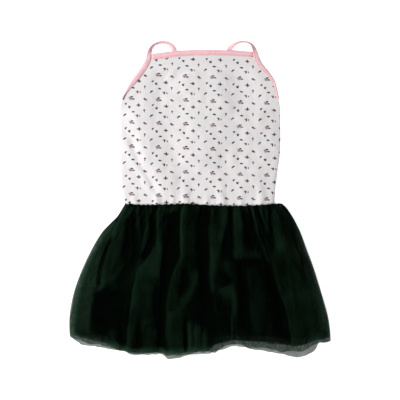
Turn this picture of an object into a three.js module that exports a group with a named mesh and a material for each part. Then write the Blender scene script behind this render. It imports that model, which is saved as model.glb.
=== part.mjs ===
// A sleeveless dog dress laid out flat, back down: a jersey bodice with bound neck and armholes, a loop
// of the same binding at each shoulder, and a gathered tulle skirt over an underskirt.
// Millimetres. +Y runs towards the neck and +Z up from the surface that the dress lies on.
import * as THREE from "three";

// Cloth and seams
const KNIT = 1.0; // jersey of the bodice
const BINDING = 1.0; // one leg of the folded binding
const BINDING_REACH = 6.2; // how far a leg lies over the jersey
const TULLE = 1.0;
const UNDERSKIRT = 1.0;
const SEAM = 0.3; // clearance between two sewn pieces
const WAIST_SEAM = 0.5; // the same along the curved waist, where both edges run in short chords
const STRAP_WIDTH = 7.0;
const STRAP_THICKNESS = 2.0;

// Heights above the surface, worked out from the layers that lie on each other
const BOUND_EDGE = BINDING + SEAM + KNIT + SEAM + BINDING;
const BACK_AT_BINDING = BINDING + SEAM;
const FRONT_AT_BINDING = BOUND_EDGE + SEAM + BINDING + SEAM;
const FRONT_AT_SIDE = KNIT + SEAM;
const FRONT_BODY = 2.0; // the bodice front where it leaves its rounded side
const BODICE_CROWN = 1.0; // its swell from there to the middle
const BODICE_ROUND = 11; // width of that rounded side
const CROWN_WIDTH = 60; // width over which the front swells
const WAIST_SLOPE = 26; // length over which the front comes down to the waist seam
const BOUND_SLOPE = { near: 18, far: 40 }; // where a panel leaves the height that its binding holds
const UNDERARM_SLOPE = 20; // length over which that height fades under the arm
const BACK_RIDGE = 1.2; // highest gather of the skirt's back
const UNDER_BACK = TULLE + BACK_RIDGE + SEAM;
const UNDER_FRONT = UNDER_BACK + UNDERSKIRT + SEAM;
const FRONT_SKIRT = UNDER_FRONT + UNDERSKIRT + SEAM;
const FRONT_AT_WAIST = FRONT_SKIRT - KNIT / 2;
const UNDER_CROWN = 2.4; // swell of the underskirt's front
const SKIRT_CROWN = 8.5; // swell of the tulle's front
const CROWN_LENGTH = 0.45; // share of the skirt's length over which both swell
const SKIRT_ROUND = { waist: 9, hem: 20 }; // width of the tulle's rounded sides
const UNDER_WAVE = 0.6; // waves of both underskirt walls
const UNDER_WAVES = 11;
const UNDER_INSET = 12; // the underskirt is that much narrower on each side

// Finished outline of the bodice, binding included
const UNDERARM = 151; // where the armhole's binding begins
const ARM_TUCK = 7; // the side seam draws in to the binding over twice this length
const BODICE_SIDES = [
  { y: -12, left: -114, right: 113 },
  { y: 10, left: -117, right: 113.5 },
  { y: 40, left: -119, right: 116 },
  { y: 75, left: -119.5, right: 120 },
  { y: 110, left: -119.5, right: 120.5 },
  { y: 138, left: -119, right: 119.5 },
  { y: UNDERARM, left: -117, right: 117.5 },
  { y: 163, left: -111, right: 115 },
  { y: 178, left: -102.5, right: 110.5 },
  { y: 192, left: -92, right: 102 },
  { y: 204, left: -84, right: 93.5 },
  { y: 213, left: -80.5, right: 89 },
  { y: 225, left: -79.5, right: 87 },
];
const NECK = { left: -80, right: 87 };
const NECKLINE = [
  { x: -80, y: 216.5 },
  { x: -35, y: 222.5 },
  { x: 5, y: 224 },
  { x: 50, y: 223.3 },
  { x: 87, y: 220.5 },
];
const BACK_NECK_DROP = 5; // the back's neckline lies that much lower

// Waist seam, pulled up and down a little by the gathers
const WAIST = [
  { x: -115, y: -7 },
  { x: -85, y: -9 },
  { x: -50, y: -8.2 },
  { x: -20, y: -7.2 },
  { x: 12, y: -9.4 },
  { x: 60, y: -10.3 },
  { x: 92, y: -9 },
  { x: 122, y: -6.5 },
];
const WAIST_LEVEL = -8; // where the bodice's width along that seam is read

// Outline of the skirt
const SKIRT_TOP = { left: -113.5, right: 121 };
const SKIRT_HEM = { left: -196, right: 196 };
const SKIRT_SIDES = [
  { y: -5, left: -113.5, right: 121 },
  { y: -12, left: -117, right: 129.5 },
  { y: -30, left: -127, right: 139 },
  { y: -50, left: -145, right: 151 },
  { y: -75, left: -162, right: 160.5 },
  { y: -105, left: -177, right: 172 },
  { y: -140, left: -189, right: 182 },
  { y: -175, left: -195.5, right: 191 },
  { y: -205, left: -195.5, right: 195.5 },
  { y: -245, left: -192, right: 196 },
];

// Hems of the tulle's front and back and of the underskirt, as y
const HEMS = [
  { x: -196, front: -208, back: -205, under: -196 },
  { x: -180, front: -214.5, back: -217, under: -204 },
  { x: -143, front: -220, back: -223.5, under: -209 },
  { x: -119, front: -226, back: -227, under: -219 },
  { x: -104, front: -231.5, back: -229.5, under: -227 },
  { x: -67, front: -232, back: -230, under: -228 },
  { x: -55, front: -230.5, back: -234.5, under: -227 },
  { x: -41, front: -231, back: -238.5, under: -227.5 },
  { x: -25, front: -233, back: -236.5, under: -228 },
  { x: 10, front: -231.5, back: -227.5, under: -225 },
  { x: 31, front: -226, back: -222, under: -218 },
  { x: 49, front: -219.5, back: -218.5, under: -212.5 },
  { x: 76, front: -220, back: -223.5, under: -209.5 },
  { x: 121, front: -226, back: -231, under: -214 },
  { x: 151, front: -230, back: -237.5, under: -217.5 },
  { x: 167, front: -225, back: -231, under: -212.5 },
  { x: 178, front: -218, back: -218, under: -208 },
  { x: 196, front: -213.5, back: -211, under: -200 },
];

// Gathers along the front of the waist seam: half width, height, and how far down they run
const GATHERS = [
  { at: -106, half: 5, rise: 2.2, reach: 60 },
  { at: -96, half: 4.5, rise: 2.4, reach: 34 },
  { at: -87, half: 4, rise: 2.6, reach: 46 },
  { at: -77, half: 4.5, rise: 2.2, reach: 52 },
  { at: -68, half: 4, rise: 2.0, reach: 38 },
  { at: -58.5, half: 4.5, rise: 3.0, reach: 80 },
  { at: -50, half: 4, rise: 1.8, reach: 40 },
  { at: -41, half: 4.5, rise: 2.4, reach: 56 },
  { at: -32.5, half: 4, rise: 1.8, reach: 44 },
  { at: -20, half: 7.5, rise: 3.2, reach: 78 },
  { at: -6, half: 4.5, rise: 1.8, reach: 40 },
  { at: 4.5, half: 5, rise: 2.2, reach: 48 },
  { at: 15.5, half: 4.5, rise: 2.4, reach: 66 },
  { at: 25, half: 4, rise: 1.8, reach: 36 },
  { at: 37, half: 5.5, rise: 2.8, reach: 74 },
  { at: 51, half: 6.5, rise: 2.8, reach: 76 },
  { at: 63, half: 4.5, rise: 2.0, reach: 38 },
  { at: 72, half: 4, rise: 2.4, reach: 44 },
  { at: 82, half: 4.5, rise: 2.4, reach: 58 },
  { at: 92, half: 4, rise: 2.0, reach: 50 },
  { at: 101.5, half: 4.5, rise: 2.2, reach: 42 },
  { at: 112, half: 5, rise: 2.6, reach: 64 },
];
const BACK_GATHERS = 24;
const PINCH = { share: 0.6, length: 9 }; // at the seam gathers have that share of their height
const FADE_START = 0.35; // share of its reach after which a gather fades

// Large folds of the tulle's front: the share of the width at the waist, a third and two thirds of the
// way down and at the hem, where each begins and ends as a share of the length, half width and height.
const FOLDS = [
  { waist: 0.03, upper: 0.03, lower: 0.035, hem: 0.04, from: 0.1, to: 1.1, half: 20, rise: 4 },
  { waist: 0.02, upper: 0.075, lower: 0.095, hem: 0.1, from: 0, to: 0.66, half: 9, rise: 6 },
  { waist: 0.14, upper: 0.235, lower: 0.24, hem: 0.24, from: 0.05, to: 1.1, half: 13, rise: 7 },
  { waist: 0.23, upper: 0.285, lower: 0.305, hem: 0.3, from: 0.05, to: 1.1, half: 18, rise: 8 },
  { waist: 0.38, upper: 0.405, lower: 0.365, hem: 0.375, from: 0.05, to: 1.2, half: 12, rise: 8.5 },
  { waist: 0.42, upper: 0.465, lower: 0.47, hem: 0.44, from: 0.15, to: 1.1, half: 13, rise: 7 },
  { waist: 0.53, upper: 0.545, lower: 0.59, hem: 0.635, from: 0.08, to: 1.2, half: 13, rise: 9 },
  { waist: 0.7, upper: 0.665, lower: 0.67, hem: 0.7, from: 0.05, to: 0.8, half: 14, rise: 6.5 },
  { waist: 0.76, upper: 0.755, lower: 0.765, hem: 0.78, from: 0.3, to: 1.2, half: 16, rise: 6 },
  { waist: 0.86, upper: 0.87, lower: 0.89, hem: 0.895, from: 0.08, to: 1.1, half: 22, rise: 8 },
  { waist: 0.97, upper: 0.955, lower: 0.955, hem: 0.955, from: 0.1, to: 1.2, half: 13, rise: 4.5 },
];
const HEM_WAVES = 17; // ruffle waves of the front hem
const HEM_WAVE_RISE = 1.6;
const HEM_WAVE_START = 0.7; // share of the length where the waves begin
const HEM_DROP = 5; // the free hem sinks towards the surface
const HEM_DROP_START = 0.86; // share of the length where it begins to sink

// Soft folds of the bodice's front, from one end to the other
const BODICE_FOLDS = [
  { x0: -80, y0: 60, x1: -50, y1: 0, half: 14, rise: 1.9 },
  { x0: -8, y0: 130, x1: -10, y1: 30, half: 20, rise: 1.0 },
  { x0: 70, y0: 110, x1: 40, y1: 20, half: 26, rise: 0.8 },
  { x0: -60, y0: 195, x1: -75, y1: 110, half: 20, rise: 0.9 },
];

// Shoulder loops of binding, from the front armhole round to the back neckline. A row gives the middle
// of the strip, its height, and its tilt in degrees out of flat.
const STRAP_ROUTES = {
  left: [
    { x: -76.6, y: 217, z: 5.7, tilt: 0 },
    { x: -76.2, y: 222, z: 5.4, tilt: 45 },
    { x: -73, y: 228, z: 4.9, tilt: 74 },
    { x: -66.5, y: 233, z: 4.5, tilt: 76 },
    { x: -57.5, y: 235.6, z: 4.2, tilt: 72 },
    { x: -48.5, y: 234.2, z: 4.0, tilt: 66 },
    { x: -41.5, y: 229.5, z: 3.2, tilt: 40 },
    { x: -38.2, y: 224.8, z: 1.9, tilt: 4 },
    { x: -36.6, y: 218, z: 1.8, tilt: 0 },
  ],
  right: [
    { x: 84, y: 221.2, z: 5.7, tilt: 0 },
    { x: 83, y: 226, z: 5.4, tilt: 45 },
    { x: 79, y: 231.5, z: 4.9, tilt: 72 },
    { x: 72.5, y: 235.3, z: 4.5, tilt: 74 },
    { x: 64, y: 236.6, z: 4.2, tilt: 72 },
    { x: 56, y: 234.6, z: 4.0, tilt: 64 },
    { x: 49, y: 230, z: 3.2, tilt: 38 },
    { x: 45, y: 225.4, z: 1.9, tilt: 4 },
    { x: 42.5, y: 218.8, z: 1.8, tilt: 0 },
  ],
};
const STRAP_STEPS = 20;

const { lerp, clamp, smoothstep, degToRad } = THREE.MathUtils;

// A smooth curve through a table's rows: value as a function of the column named along.
function tableCurve(rows, along, value) {
  const at = rows.map((row) => row[along]);
  const rising = at[at.length - 1] > at[0];
  const knots = rising ? rows : [...rows].reverse();
  const slope = knots.map((row, i) => {
    const before = knots[Math.max(i - 1, 0)];
    const after = knots[Math.min(i + 1, knots.length - 1)];
    return (after[value] - before[value]) / (after[along] - before[along]);
  });
  return (x) => {
    const inside = clamp(x, knots[0][along], knots[knots.length - 1][along]);
    const next = knots.findIndex((row, i) => i > 0 && row[along] >= inside);
    const a = knots[next - 1];
    const b = knots[next];
    const step = b[along] - a[along];
    const t = (inside - a[along]) / step;
    const t2 = t * t;
    const t3 = t2 * t;
    return (
      a[value] * (2 * t3 - 3 * t2 + 1) +
      b[value] * (3 * t2 - 2 * t3) +
      step * (slope[next - 1] * (t3 - 2 * t2 + t) + slope[next] * (t3 - t2))
    );
  };
}

const bodiceLeft = tableCurve(BODICE_SIDES, "y", "left");
const bodiceRight = tableCurve(BODICE_SIDES, "y", "right");
const neckline = tableCurve(NECKLINE, "x", "y");
const waistLine = tableCurve(WAIST, "x", "y");
const skirtLeft = tableCurve(SKIRT_SIDES, "y", "left");
const skirtRight = tableCurve(SKIRT_SIDES, "y", "right");
const frontHem = tableCurve(HEMS, "x", "front");
const backHem = tableCurve(HEMS, "x", "back");
const underHem = tableCurve(HEMS, "x", "under");

// 1 on a ridge's line and 0 from its half width outwards
const ridge = (distance, half) =>
  Math.abs(distance) < half ? 0.5 + 0.5 * Math.cos((Math.PI * distance) / half) : 0;

// The quarter round by which a wall rises from its side edge
const roundOver = (distance, width) =>
  Math.sqrt(1 - (1 - clamp(distance / width, 0, 1)) ** 2);

// Values from 0 to 1, closer together at both ends as ease grows from 0 to 1
const spread = (count, ease = 0) =>
  Array.from({ length: count + 1 }, (_, i) => {
    const t = i / count;
    return lerp(t, 0.5 - 0.5 * Math.cos(Math.PI * t), ease);
  });

// Turns the faces round where they point inwards.
function facingOut(geometry) {
  const p = geometry.getAttribute("position");
  const index = geometry.index.array;
  const [a, b, c] = [0, 1, 2].map(() => new THREE.Vector3());
  let volume = 0;
  for (let i = 0; i < index.length; i += 3) {
    a.fromBufferAttribute(p, index[i]);
    b.fromBufferAttribute(p, index[i + 1]);
    c.fromBufferAttribute(p, index[i + 2]);
    volume += a.dot(b.cross(c));
  }
  if (volume < 0)
    for (let i = 0; i < index.length; i += 3)
      [index[i + 1], index[i + 2]] = [index[i + 2], index[i + 1]];
  geometry.computeVertexNormals();
  return geometry;
}

function indexedGeometry(points, triangles) {
  const geometry = new THREE.BufferGeometry();
  geometry.setAttribute("position", new THREE.Float32BufferAttribute(points.flat(), 3));
  geometry.setIndex(triangles);
  return facingOut(geometry);
}

// A closed cloth wall over a grid: lower(u, v) gives its underside and thickness its height above that.
function clothWall(us, vs, lower, thickness) {
  const columns = us.length;
  const points = [];
  for (const lift of [0, thickness])
    for (const v of vs)
      for (const u of us) {
        const [x, y, z] = lower(u, v);
        points.push([x, y, z + lift]);
      }
  const layer = columns * vs.length;
  const at = (i, j, k) => k * layer + j * columns + i;
  const triangles = [];
  const quad = (a, b, c, d) => triangles.push(a, b, c, a, c, d);
  for (let j = 0; j < vs.length - 1; j++)
    for (let i = 0; i < columns - 1; i++) {
      quad(at(i, j, 0), at(i, j + 1, 0), at(i + 1, j + 1, 0), at(i + 1, j, 0));
      quad(at(i, j, 1), at(i + 1, j, 1), at(i + 1, j + 1, 1), at(i, j + 1, 1));
    }
  const rim = [];
  for (let i = 0; i < columns - 1; i++) rim.push([i, 0]);
  for (let j = 0; j < vs.length - 1; j++) rim.push([columns - 1, j]);
  for (let i = columns - 1; i > 0; i--) rim.push([i, vs.length - 1]);
  for (let j = vs.length - 1; j > 0; j--) rim.push([0, j]);
  rim.forEach(([i, j], n) => {
    const [p, q] = rim[(n + 1) % rim.length];
    quad(at(i, j, 0), at(p, q, 0), at(p, q, 1), at(i, j, 1));
  });
  return indexedGeometry(points, triangles);
}

// A closed strip through equal sections, capped with the section's own outline.
function sweptStrip(sections, outline) {
  const n = outline.length;
  const points = sections.flat();
  const triangles = [];
  for (let s = 0; s < sections.length - 1; s++)
    for (let i = 0; i < n; i++) {
      const next = (i + 1) % n;
      const [a, b, c, d] = [s * n + i, s * n + next, (s + 1) * n + next, (s + 1) * n + i];
      triangles.push(a, b, c, a, c, d);
    }
  const last = (sections.length - 1) * n;
  const corners = outline.map(([s, h]) => new THREE.Vector2(s, h));
  const clockwise = THREE.ShapeUtils.isClockWise(corners);
  for (const [a, b, c] of THREE.ShapeUtils.triangulateShape(corners, [])) {
    const turned = clockwise ? [a, b, c] : [a, c, b];
    triangles.push(...turned);
    triangles.push(...[...turned].reverse().map((i) => last + i));
  }
  return indexedGeometry(points, triangles);
}

// A bound jersey edge lies that far inside the finished outline, in the fold of its binding.
const tuck = BINDING + SEAM;

// A place on either bodice panel: u across from left to right, v from the waist to the neck.
function bodicePlace(u, v, neckDrop) {
  const bottom = waistLine(lerp(bodiceLeft(WAIST_LEVEL), bodiceRight(WAIST_LEVEL), u)) + WAIST_SEAM;
  const top = neckline(lerp(NECK.left, NECK.right, u)) - neckDrop - tuck;
  const y = lerp(bottom, top, v);
  const bound = smoothstep(y, UNDERARM - 2 * ARM_TUCK, UNDERARM) * tuck;
  return [lerp(bodiceLeft(y) + bound, bodiceRight(y) - bound, u), y];
}

// How far a place is raised to its height in the bindings: 1 at a bound edge and 0 in the body.
function boundLift(x, y, neckDrop) {
  const fromNeck = neckline(x) - neckDrop - y;
  const fromSide = Math.min(x - bodiceLeft(y), bodiceRight(y) - x);
  const free = (distance) => smoothstep(distance, BOUND_SLOPE.near, BOUND_SLOPE.far);
  const aboveUnderarm = smoothstep(y, UNDERARM - UNDERARM_SLOPE - ARM_TUCK, UNDERARM - ARM_TUCK);
  return Math.max(1 - free(fromNeck), (1 - free(fromSide)) * aboveUnderarm);
}

function bodiceFold(x, y) {
  return BODICE_FOLDS.reduce((sum, f) => {
    const along = new THREE.Vector2(f.x1 - f.x0, f.y1 - f.y0);
    const from = new THREE.Vector2(x - f.x0, y - f.y0);
    const t = from.dot(along) / along.lengthSq();
    const distance = from.cross(along) / along.length();
    const ends = smoothstep(t, -0.3, 0.25) * (1 - smoothstep(t, 0.85, 1.3));
    return sum + f.rise * ends * ridge(distance, f.half);
  }, 0);
}

function bodiceBackPoint(u, v) {
  const [x, y] = bodicePlace(u, v, BACK_NECK_DROP);
  return [x, y, BACK_AT_BINDING * boundLift(x, y, BACK_NECK_DROP)];
}

function bodiceFrontPoint(u, v) {
  const [x, y] = bodicePlace(u, v, 0);
  const fromSide = Math.min(x - bodiceLeft(y), bodiceRight(y) - x);
  const rounded = roundOver(fromSide, BODICE_ROUND);
  const nearWaist = 1 - smoothstep(y - waistLine(x), 0, WAIST_SLOPE);
  const body = FRONT_BODY + BODICE_CROWN * roundOver(fromSide, CROWN_WIDTH) + bodiceFold(x, y);
  const level = lerp(body, FRONT_AT_WAIST, nearWaist);
  const free = lerp(FRONT_AT_SIDE, level, rounded);
  return [x, y, lerp(free, FRONT_AT_BINDING, boundLift(x, y, 0))];
}

// Section of the folded binding round a jersey edge: s outwards from the edge, h up from the jersey's
// underside.
const BINDING_OUTLINE = [
  [-BINDING_REACH, KNIT + SEAM],
  [-BINDING_REACH, KNIT + SEAM + BINDING],
  [SEAM + BINDING * 0.4, KNIT + SEAM + BINDING],
  [SEAM + BINDING, KNIT],
  [SEAM + BINDING, 0],
  [SEAM + BINDING * 0.4, -SEAM - BINDING],
  [-BINDING_REACH, -SEAM - BINDING],
  [-BINDING_REACH, -SEAM],
  [SEAM, -SEAM],
  [SEAM, KNIT + SEAM],
];

// A binding made from a panel's own edge points, each with the direction that leads out of the panel.
function binding(stations) {
  const sections = stations.map(({ point, out }) =>
    BINDING_OUTLINE.map(([s, h]) => [point[0] + out[0] * s, point[1] + out[1] * s, point[2] + h]),
  );
  return sweptStrip(sections, BINDING_OUTLINE);
}

// The neckline's binding stops where the two armhole bindings begin, inside the corners.
function neckBinding(panelPoint) {
  const reach = BINDING_REACH + 2 * SEAM;
  const [left] = panelPoint(0, 1);
  const [right] = panelPoint(1, 1);
  const first = reach / (right - left);
  const stations = spread(15).map((t) => ({
    point: panelPoint(lerp(first, 1 - first, t), 1),
    out: [0, 1],
  }));
  return binding(stations);
}

// An armhole's binding runs from the side seam to the neck corner.
function armholeBinding(panelPoint, side) {
  const u = side < 0 ? 0 : 1;
  const bottom = panelPoint(u, 0)[1];
  const top = panelPoint(u, 1)[1];
  const first = (UNDERARM - bottom) / (top - bottom);
  const corner = 1 + tuck / (top - bottom);
  const stations = spread(12).map((t) => {
    const v = Math.min(lerp(first, corner, t), 1);
    const point = panelPoint(u, v);
    const [x0, y0] = panelPoint(u, v - 0.01);
    const [x1, y1] = panelPoint(u, Math.min(v + 0.01, 1));
    const length = Math.hypot(x1 - x0, y1 - y0);
    const out = [(side * (y1 - y0)) / length, (-side * (x1 - x0)) / length];
    return { point, out };
  });
  const end = stations[stations.length - 1];
  end.point = [end.point[0], end.point[1] + tuck, end.point[2]];
  end.out = [side, 0];
  return binding(stations);
}

// A shoulder loop: a flat strip that turns on its edge as it goes round.
const STRAP_OUTLINE = [
  [-STRAP_WIDTH / 2, -STRAP_THICKNESS / 2],
  [STRAP_WIDTH / 2, -STRAP_THICKNESS / 2],
  [STRAP_WIDTH / 2, STRAP_THICKNESS / 2],
  [-STRAP_WIDTH / 2, STRAP_THICKNESS / 2],
];

function strap(route) {
  const line = new THREE.CatmullRomCurve3(
    route.map(({ x, y, z }) => new THREE.Vector3(x, y, z)),
    false,
    "centripetal",
  );
  const tilts = route.map(({ tilt }, i) => ({ at: i / (route.length - 1), tilt }));
  const tiltAt = tableCurve(tilts, "at", "tilt");
  const up = new THREE.Vector3(0, 0, 1);
  const sections = spread(STRAP_STEPS).map((t) => {
    const middle = line.getPoint(t);
    const along = line.getTangent(t).setZ(0).normalize();
    if (t === 0 || t === 1) along.set(0, t === 0 ? 1 : -1, 0);
    const across = new THREE.Vector3().crossVectors(along, up);
    const angle = degToRad(tiltAt(t));
    const wide = across.clone().multiplyScalar(Math.cos(angle)).addScaledVector(up, Math.sin(angle));
    const thick = up.clone().multiplyScalar(Math.cos(angle)).addScaledVector(across, -Math.sin(angle));
    return STRAP_OUTLINE.map(([w, h]) =>
      middle.clone().addScaledVector(wide, w).addScaledVector(thick, h).toArray(),
    );
  });
  return sweptStrip(sections, STRAP_OUTLINE);
}

// Skirt. A place on any of its walls: u across from left to right, v from the waist to the hem.
function skirtPlace(u, v, hem, inset = 0) {
  const top = waistLine(lerp(SKIRT_TOP.left + inset, SKIRT_TOP.right - inset, u));
  const bottom = hem(lerp(SKIRT_HEM.left + inset, SKIRT_HEM.right - inset, u));
  const y = lerp(top, bottom, v);
  return [lerp(skirtLeft(y) + inset, skirtRight(y) - inset, u), y];
}

const waistWidth = SKIRT_TOP.right - SKIRT_TOP.left;

// Height of the gathers at a place: each keeps its share of the width as the skirt fans out.
function gathered(gathers, u, x, y) {
  const width = skirtRight(y) - skirtLeft(y);
  const down = waistLine(x) - y;
  const pinched = lerp(PINCH.share, 1, smoothstep(down, 0, PINCH.length));
  return gathers.reduce((sum, g) => {
    const share = (g.at - SKIRT_TOP.left) / waistWidth;
    const fade = 1 - smoothstep(down, FADE_START * g.reach, g.reach);
    return sum + g.rise * fade * pinched * ridge((u - share) * width, (g.half * width) / waistWidth);
  }, 0);
}

const foldPath = (f) =>
  tableCurve(
    [
      { v: 0, share: f.waist },
      { v: 1 / 3, share: f.upper },
      { v: 2 / 3, share: f.lower },
      { v: 1, share: f.hem },
    ],
    "v",
    "share",
  );
const foldPaths = FOLDS.map(foldPath);

function folded(u, v, y) {
  const width = skirtRight(y) - skirtLeft(y);
  return FOLDS.reduce((sum, f, i) => {
    const window = smoothstep(v, f.from, f.from + 0.3) * (1 - smoothstep(v, f.to - 0.2, f.to));
    return sum + f.rise * window * ridge((u - foldPaths[i](v)) * width, f.half);
  }, 0);
}

function skirtFrontPoint(u, v) {
  const [x, y] = skirtPlace(u, v, frontHem);
  const fromSide = Math.min(x - skirtLeft(y), skirtRight(y) - x);
  const swell = SKIRT_CROWN * smoothstep(v, 0, CROWN_LENGTH);
  const drop = HEM_DROP * smoothstep(v, HEM_DROP_START, 1);
  const wave = 0.5 + 0.5 * Math.sin(2 * Math.PI * HEM_WAVES * u);
  const ruffle = HEM_WAVE_RISE * wave * smoothstep(v, HEM_WAVE_START, 1);
  const loft = swell + gathered(GATHERS, u, x, y) + folded(u, v, y) + ruffle - drop;
  const edge = roundOver(fromSide, lerp(SKIRT_ROUND.waist, SKIRT_ROUND.hem, v));
  return [x, y, lerp(TULLE + SEAM, FRONT_SKIRT + loft, edge)];
}

// The back's gathers are uneven in place, width, height and reach.
const backGathers = Array.from({ length: BACK_GATHERS }, (_, i) => ({
  at: lerp(SKIRT_TOP.left + 4, SKIRT_TOP.right - 4, (i + 0.5 + 0.25 * Math.sin(2.4 * i)) / BACK_GATHERS),
  half: 4.2 + 0.6 * Math.sin(1.9 * i),
  rise: 0.9 + 0.3 * Math.sin(1.7 * i),
  reach: 70 + 35 * Math.sin(2.9 * i),
}));

function skirtBackPoint(u, v) {
  const [x, y] = skirtPlace(u, v, backHem);
  return [x, y, Math.min(gathered(backGathers, u, x, y), BACK_RIDGE)];
}

// An underskirt wall lies flat at its level, with slight waves and a swell towards the middle.
function underskirtPoint(level, crown) {
  return (u, v) => {
    const [x, y] = skirtPlace(u, v, underHem, UNDER_INSET);
    const ripple = 0.5 + 0.5 * Math.sin(2 * Math.PI * UNDER_WAVES * u);
    const wave = UNDER_WAVE * ripple * smoothstep(v, 0, CROWN_LENGTH);
    const swell = crown * roundOver(Math.min(u, 1 - u), 0.2) * smoothstep(v, 0, CROWN_LENGTH);
    return [x, y, level + wave + swell];
  };
}

// Materials
const cloth = (color, roughness = 0.9) =>
  new THREE.MeshStandardMaterial({ color, roughness, metalness: 0 });
const jersey = cloth(0xe8e6e6);
const pinkBinding = cloth(0xf0c0c6, 0.8);
const tulle = cloth(0x10241a);
const lining = cloth(0x060c09);

// Assembly
const dress = new THREE.Group();

function sewOn(name, geometry, material) {
  const mesh = new THREE.Mesh(geometry, material);
  mesh.name = name;
  dress.add(mesh);
}

// Rows from 0 to 1 that stand closer together at the waist, or at the neck
const fromWaist = (count, power) => spread(count).map((t) => t ** power);
const toNeck = (count, power) => spread(count).map((t) => 1 - (1 - t) ** power);

sewOn("bodice_back", clothWall(spread(20, 0.4), toNeck(18, 1.35), bodiceBackPoint, KNIT), jersey);
sewOn("bodice_front", clothWall(spread(26, 0.55), toNeck(20, 1.3), bodiceFrontPoint, KNIT), jersey);
sewOn("neck_binding_back", neckBinding(bodiceBackPoint), pinkBinding);
sewOn("neck_binding_front", neckBinding(bodiceFrontPoint), pinkBinding);
for (const [side, sign] of [
  ["left", -1],
  ["right", 1],
]) {
  sewOn(`armhole_binding_${side}_back`, armholeBinding(bodiceBackPoint, sign), pinkBinding);
  sewOn(`armhole_binding_${side}_front`, armholeBinding(bodiceFrontPoint, sign), pinkBinding);
  sewOn(`strap_${side}`, strap(STRAP_ROUTES[side]), pinkBinding);
}
sewOn("skirt_tulle_back", clothWall(spread(58, 0.1), fromWaist(8, 1.4), skirtBackPoint, TULLE), tulle);
sewOn(
  "underskirt_back",
  clothWall(spread(33), fromWaist(7, 1.2), underskirtPoint(UNDER_BACK, 0), UNDERSKIRT),
  lining,
);
sewOn(
  "underskirt_front",
  clothWall(spread(33), fromWaist(7, 1.2), underskirtPoint(UNDER_FRONT, UNDER_CROWN), UNDERSKIRT),
  lining,
);
sewOn(
  "skirt_tulle_front",
  clothWall(spread(100, 0.12), fromWaist(12, 1.35), skirtFrontPoint, TULLE),
  tulle,
);

// The origin is the middle of the dress on the surface that it lies on.
const extent = new THREE.Box3().setFromObject(dress);
const middle = extent.getCenter(new THREE.Vector3());
dress.position.set(-middle.x, -middle.y, -extent.min.z);

export default dress;
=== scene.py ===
# %% [markdown]
# A sleeveless dress for a small dog, laid out flat on its back and seen from straight above. The bodice is
# off-white jersey with a small sprig print. A folded pink binding runs round the neck and the armholes and
# goes on as a loop at each shoulder. A gathered skirt of two layers of black-green tulle, front and back,
# hangs over an opaque underskirt. The packed solids give each piece its place. This script lays the real
# cloth on them, one sheet at a time, from the table that the dress lies on up to the top fold.

# %% The packed model
import math
import bpy
import numpy as np
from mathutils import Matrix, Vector


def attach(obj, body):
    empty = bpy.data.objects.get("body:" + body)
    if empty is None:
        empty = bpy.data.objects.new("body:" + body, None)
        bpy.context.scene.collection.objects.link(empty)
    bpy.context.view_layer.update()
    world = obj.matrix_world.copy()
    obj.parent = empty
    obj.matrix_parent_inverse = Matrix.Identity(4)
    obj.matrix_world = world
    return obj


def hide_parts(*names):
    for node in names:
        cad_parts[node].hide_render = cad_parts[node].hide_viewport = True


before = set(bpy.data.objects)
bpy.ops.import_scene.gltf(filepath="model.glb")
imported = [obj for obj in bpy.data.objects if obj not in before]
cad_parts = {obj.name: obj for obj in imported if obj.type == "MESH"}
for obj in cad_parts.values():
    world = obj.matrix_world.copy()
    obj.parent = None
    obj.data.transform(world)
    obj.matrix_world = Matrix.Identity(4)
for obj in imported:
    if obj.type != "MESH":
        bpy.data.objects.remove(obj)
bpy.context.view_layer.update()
print("solids", sorted(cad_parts))

# %% [markdown]
# The dress is looked at as a buyer would see it in a shop's picture: straight from above, on a white
# table, in soft light. The camera hangs high over it with a long lens, so that the hem and the neck are
# seen from almost the same direction. One pixel of the picture is 1.5 mm of cloth.

# %% Camera
MM = 0.001
PIXEL_MM = 1.5
PICTURE_PIXELS = 400
PICTURE_MIDDLE_MM = (0.75, -1.5)
FOCUS_HEIGHT_MM = 8
LENS_MM = 100
SENSOR_MM = 36
picture_width = PIXEL_MM * PICTURE_PIXELS * MM
camera_height = picture_width * LENS_MM / SENSOR_MM
camera = bpy.data.objects.new("camera", bpy.data.cameras.new("camera"))
camera.data.lens = LENS_MM
camera.data.sensor_width = SENSOR_MM
middle_x, middle_y = PICTURE_MIDDLE_MM
camera.location = (middle_x * MM, middle_y * MM, camera_height + FOCUS_HEIGHT_MM * MM)
bpy.context.scene.collection.objects.link(camera)
bpy.context.scene.camera = camera
print("camera height, m", round(camera_height, 3))

# %% [markdown]
# White cloth on a white table only shows its edges if the table is brighter than the cloth, so the light
# is set until the table is just white. A good part comes evenly from all round, as in a light tent. A
# lamp low on the left adds the direction that draws the folds, and a wide weak one overhead lights the
# tulle from the other side.

# %% Light
scene = bpy.context.scene
scene.view_settings.view_transform = "Standard"
world = bpy.data.worlds.new("tent")
world.use_nodes = True
tent = world.node_tree.nodes["Background"].inputs
tent["Color"].default_value = (1, 1, 1, 1)
tent["Strength"].default_value = 0.36
scene.world = world


def lamp(name, place, size, watts):
    """A round lamp of this size in metres that shines at the dress."""
    light = bpy.data.lights.new(name, "AREA")
    light.shape = "DISK"
    light.size = size
    light.energy = watts
    holder = bpy.data.objects.new(name, light)
    holder.location = place
    holder.rotation_euler = (-Vector(place)).to_track_quat("-Z", "Y").to_euler()
    scene.collection.objects.link(holder)


lamp("lamp_left", (-1.3, 0.12, 0.9), 0.6, 27)
lamp("lamp_above", (0.25, -0.5, 1.9), 1.2, 7)

# %% [markdown]
# A surface's look is worked out by nodes. To keep the sums readable, a socket is wrapped in a small class
# whose operators add the Math nodes, so that a line of Python reads like the formula.

# %% Shader sums


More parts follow.
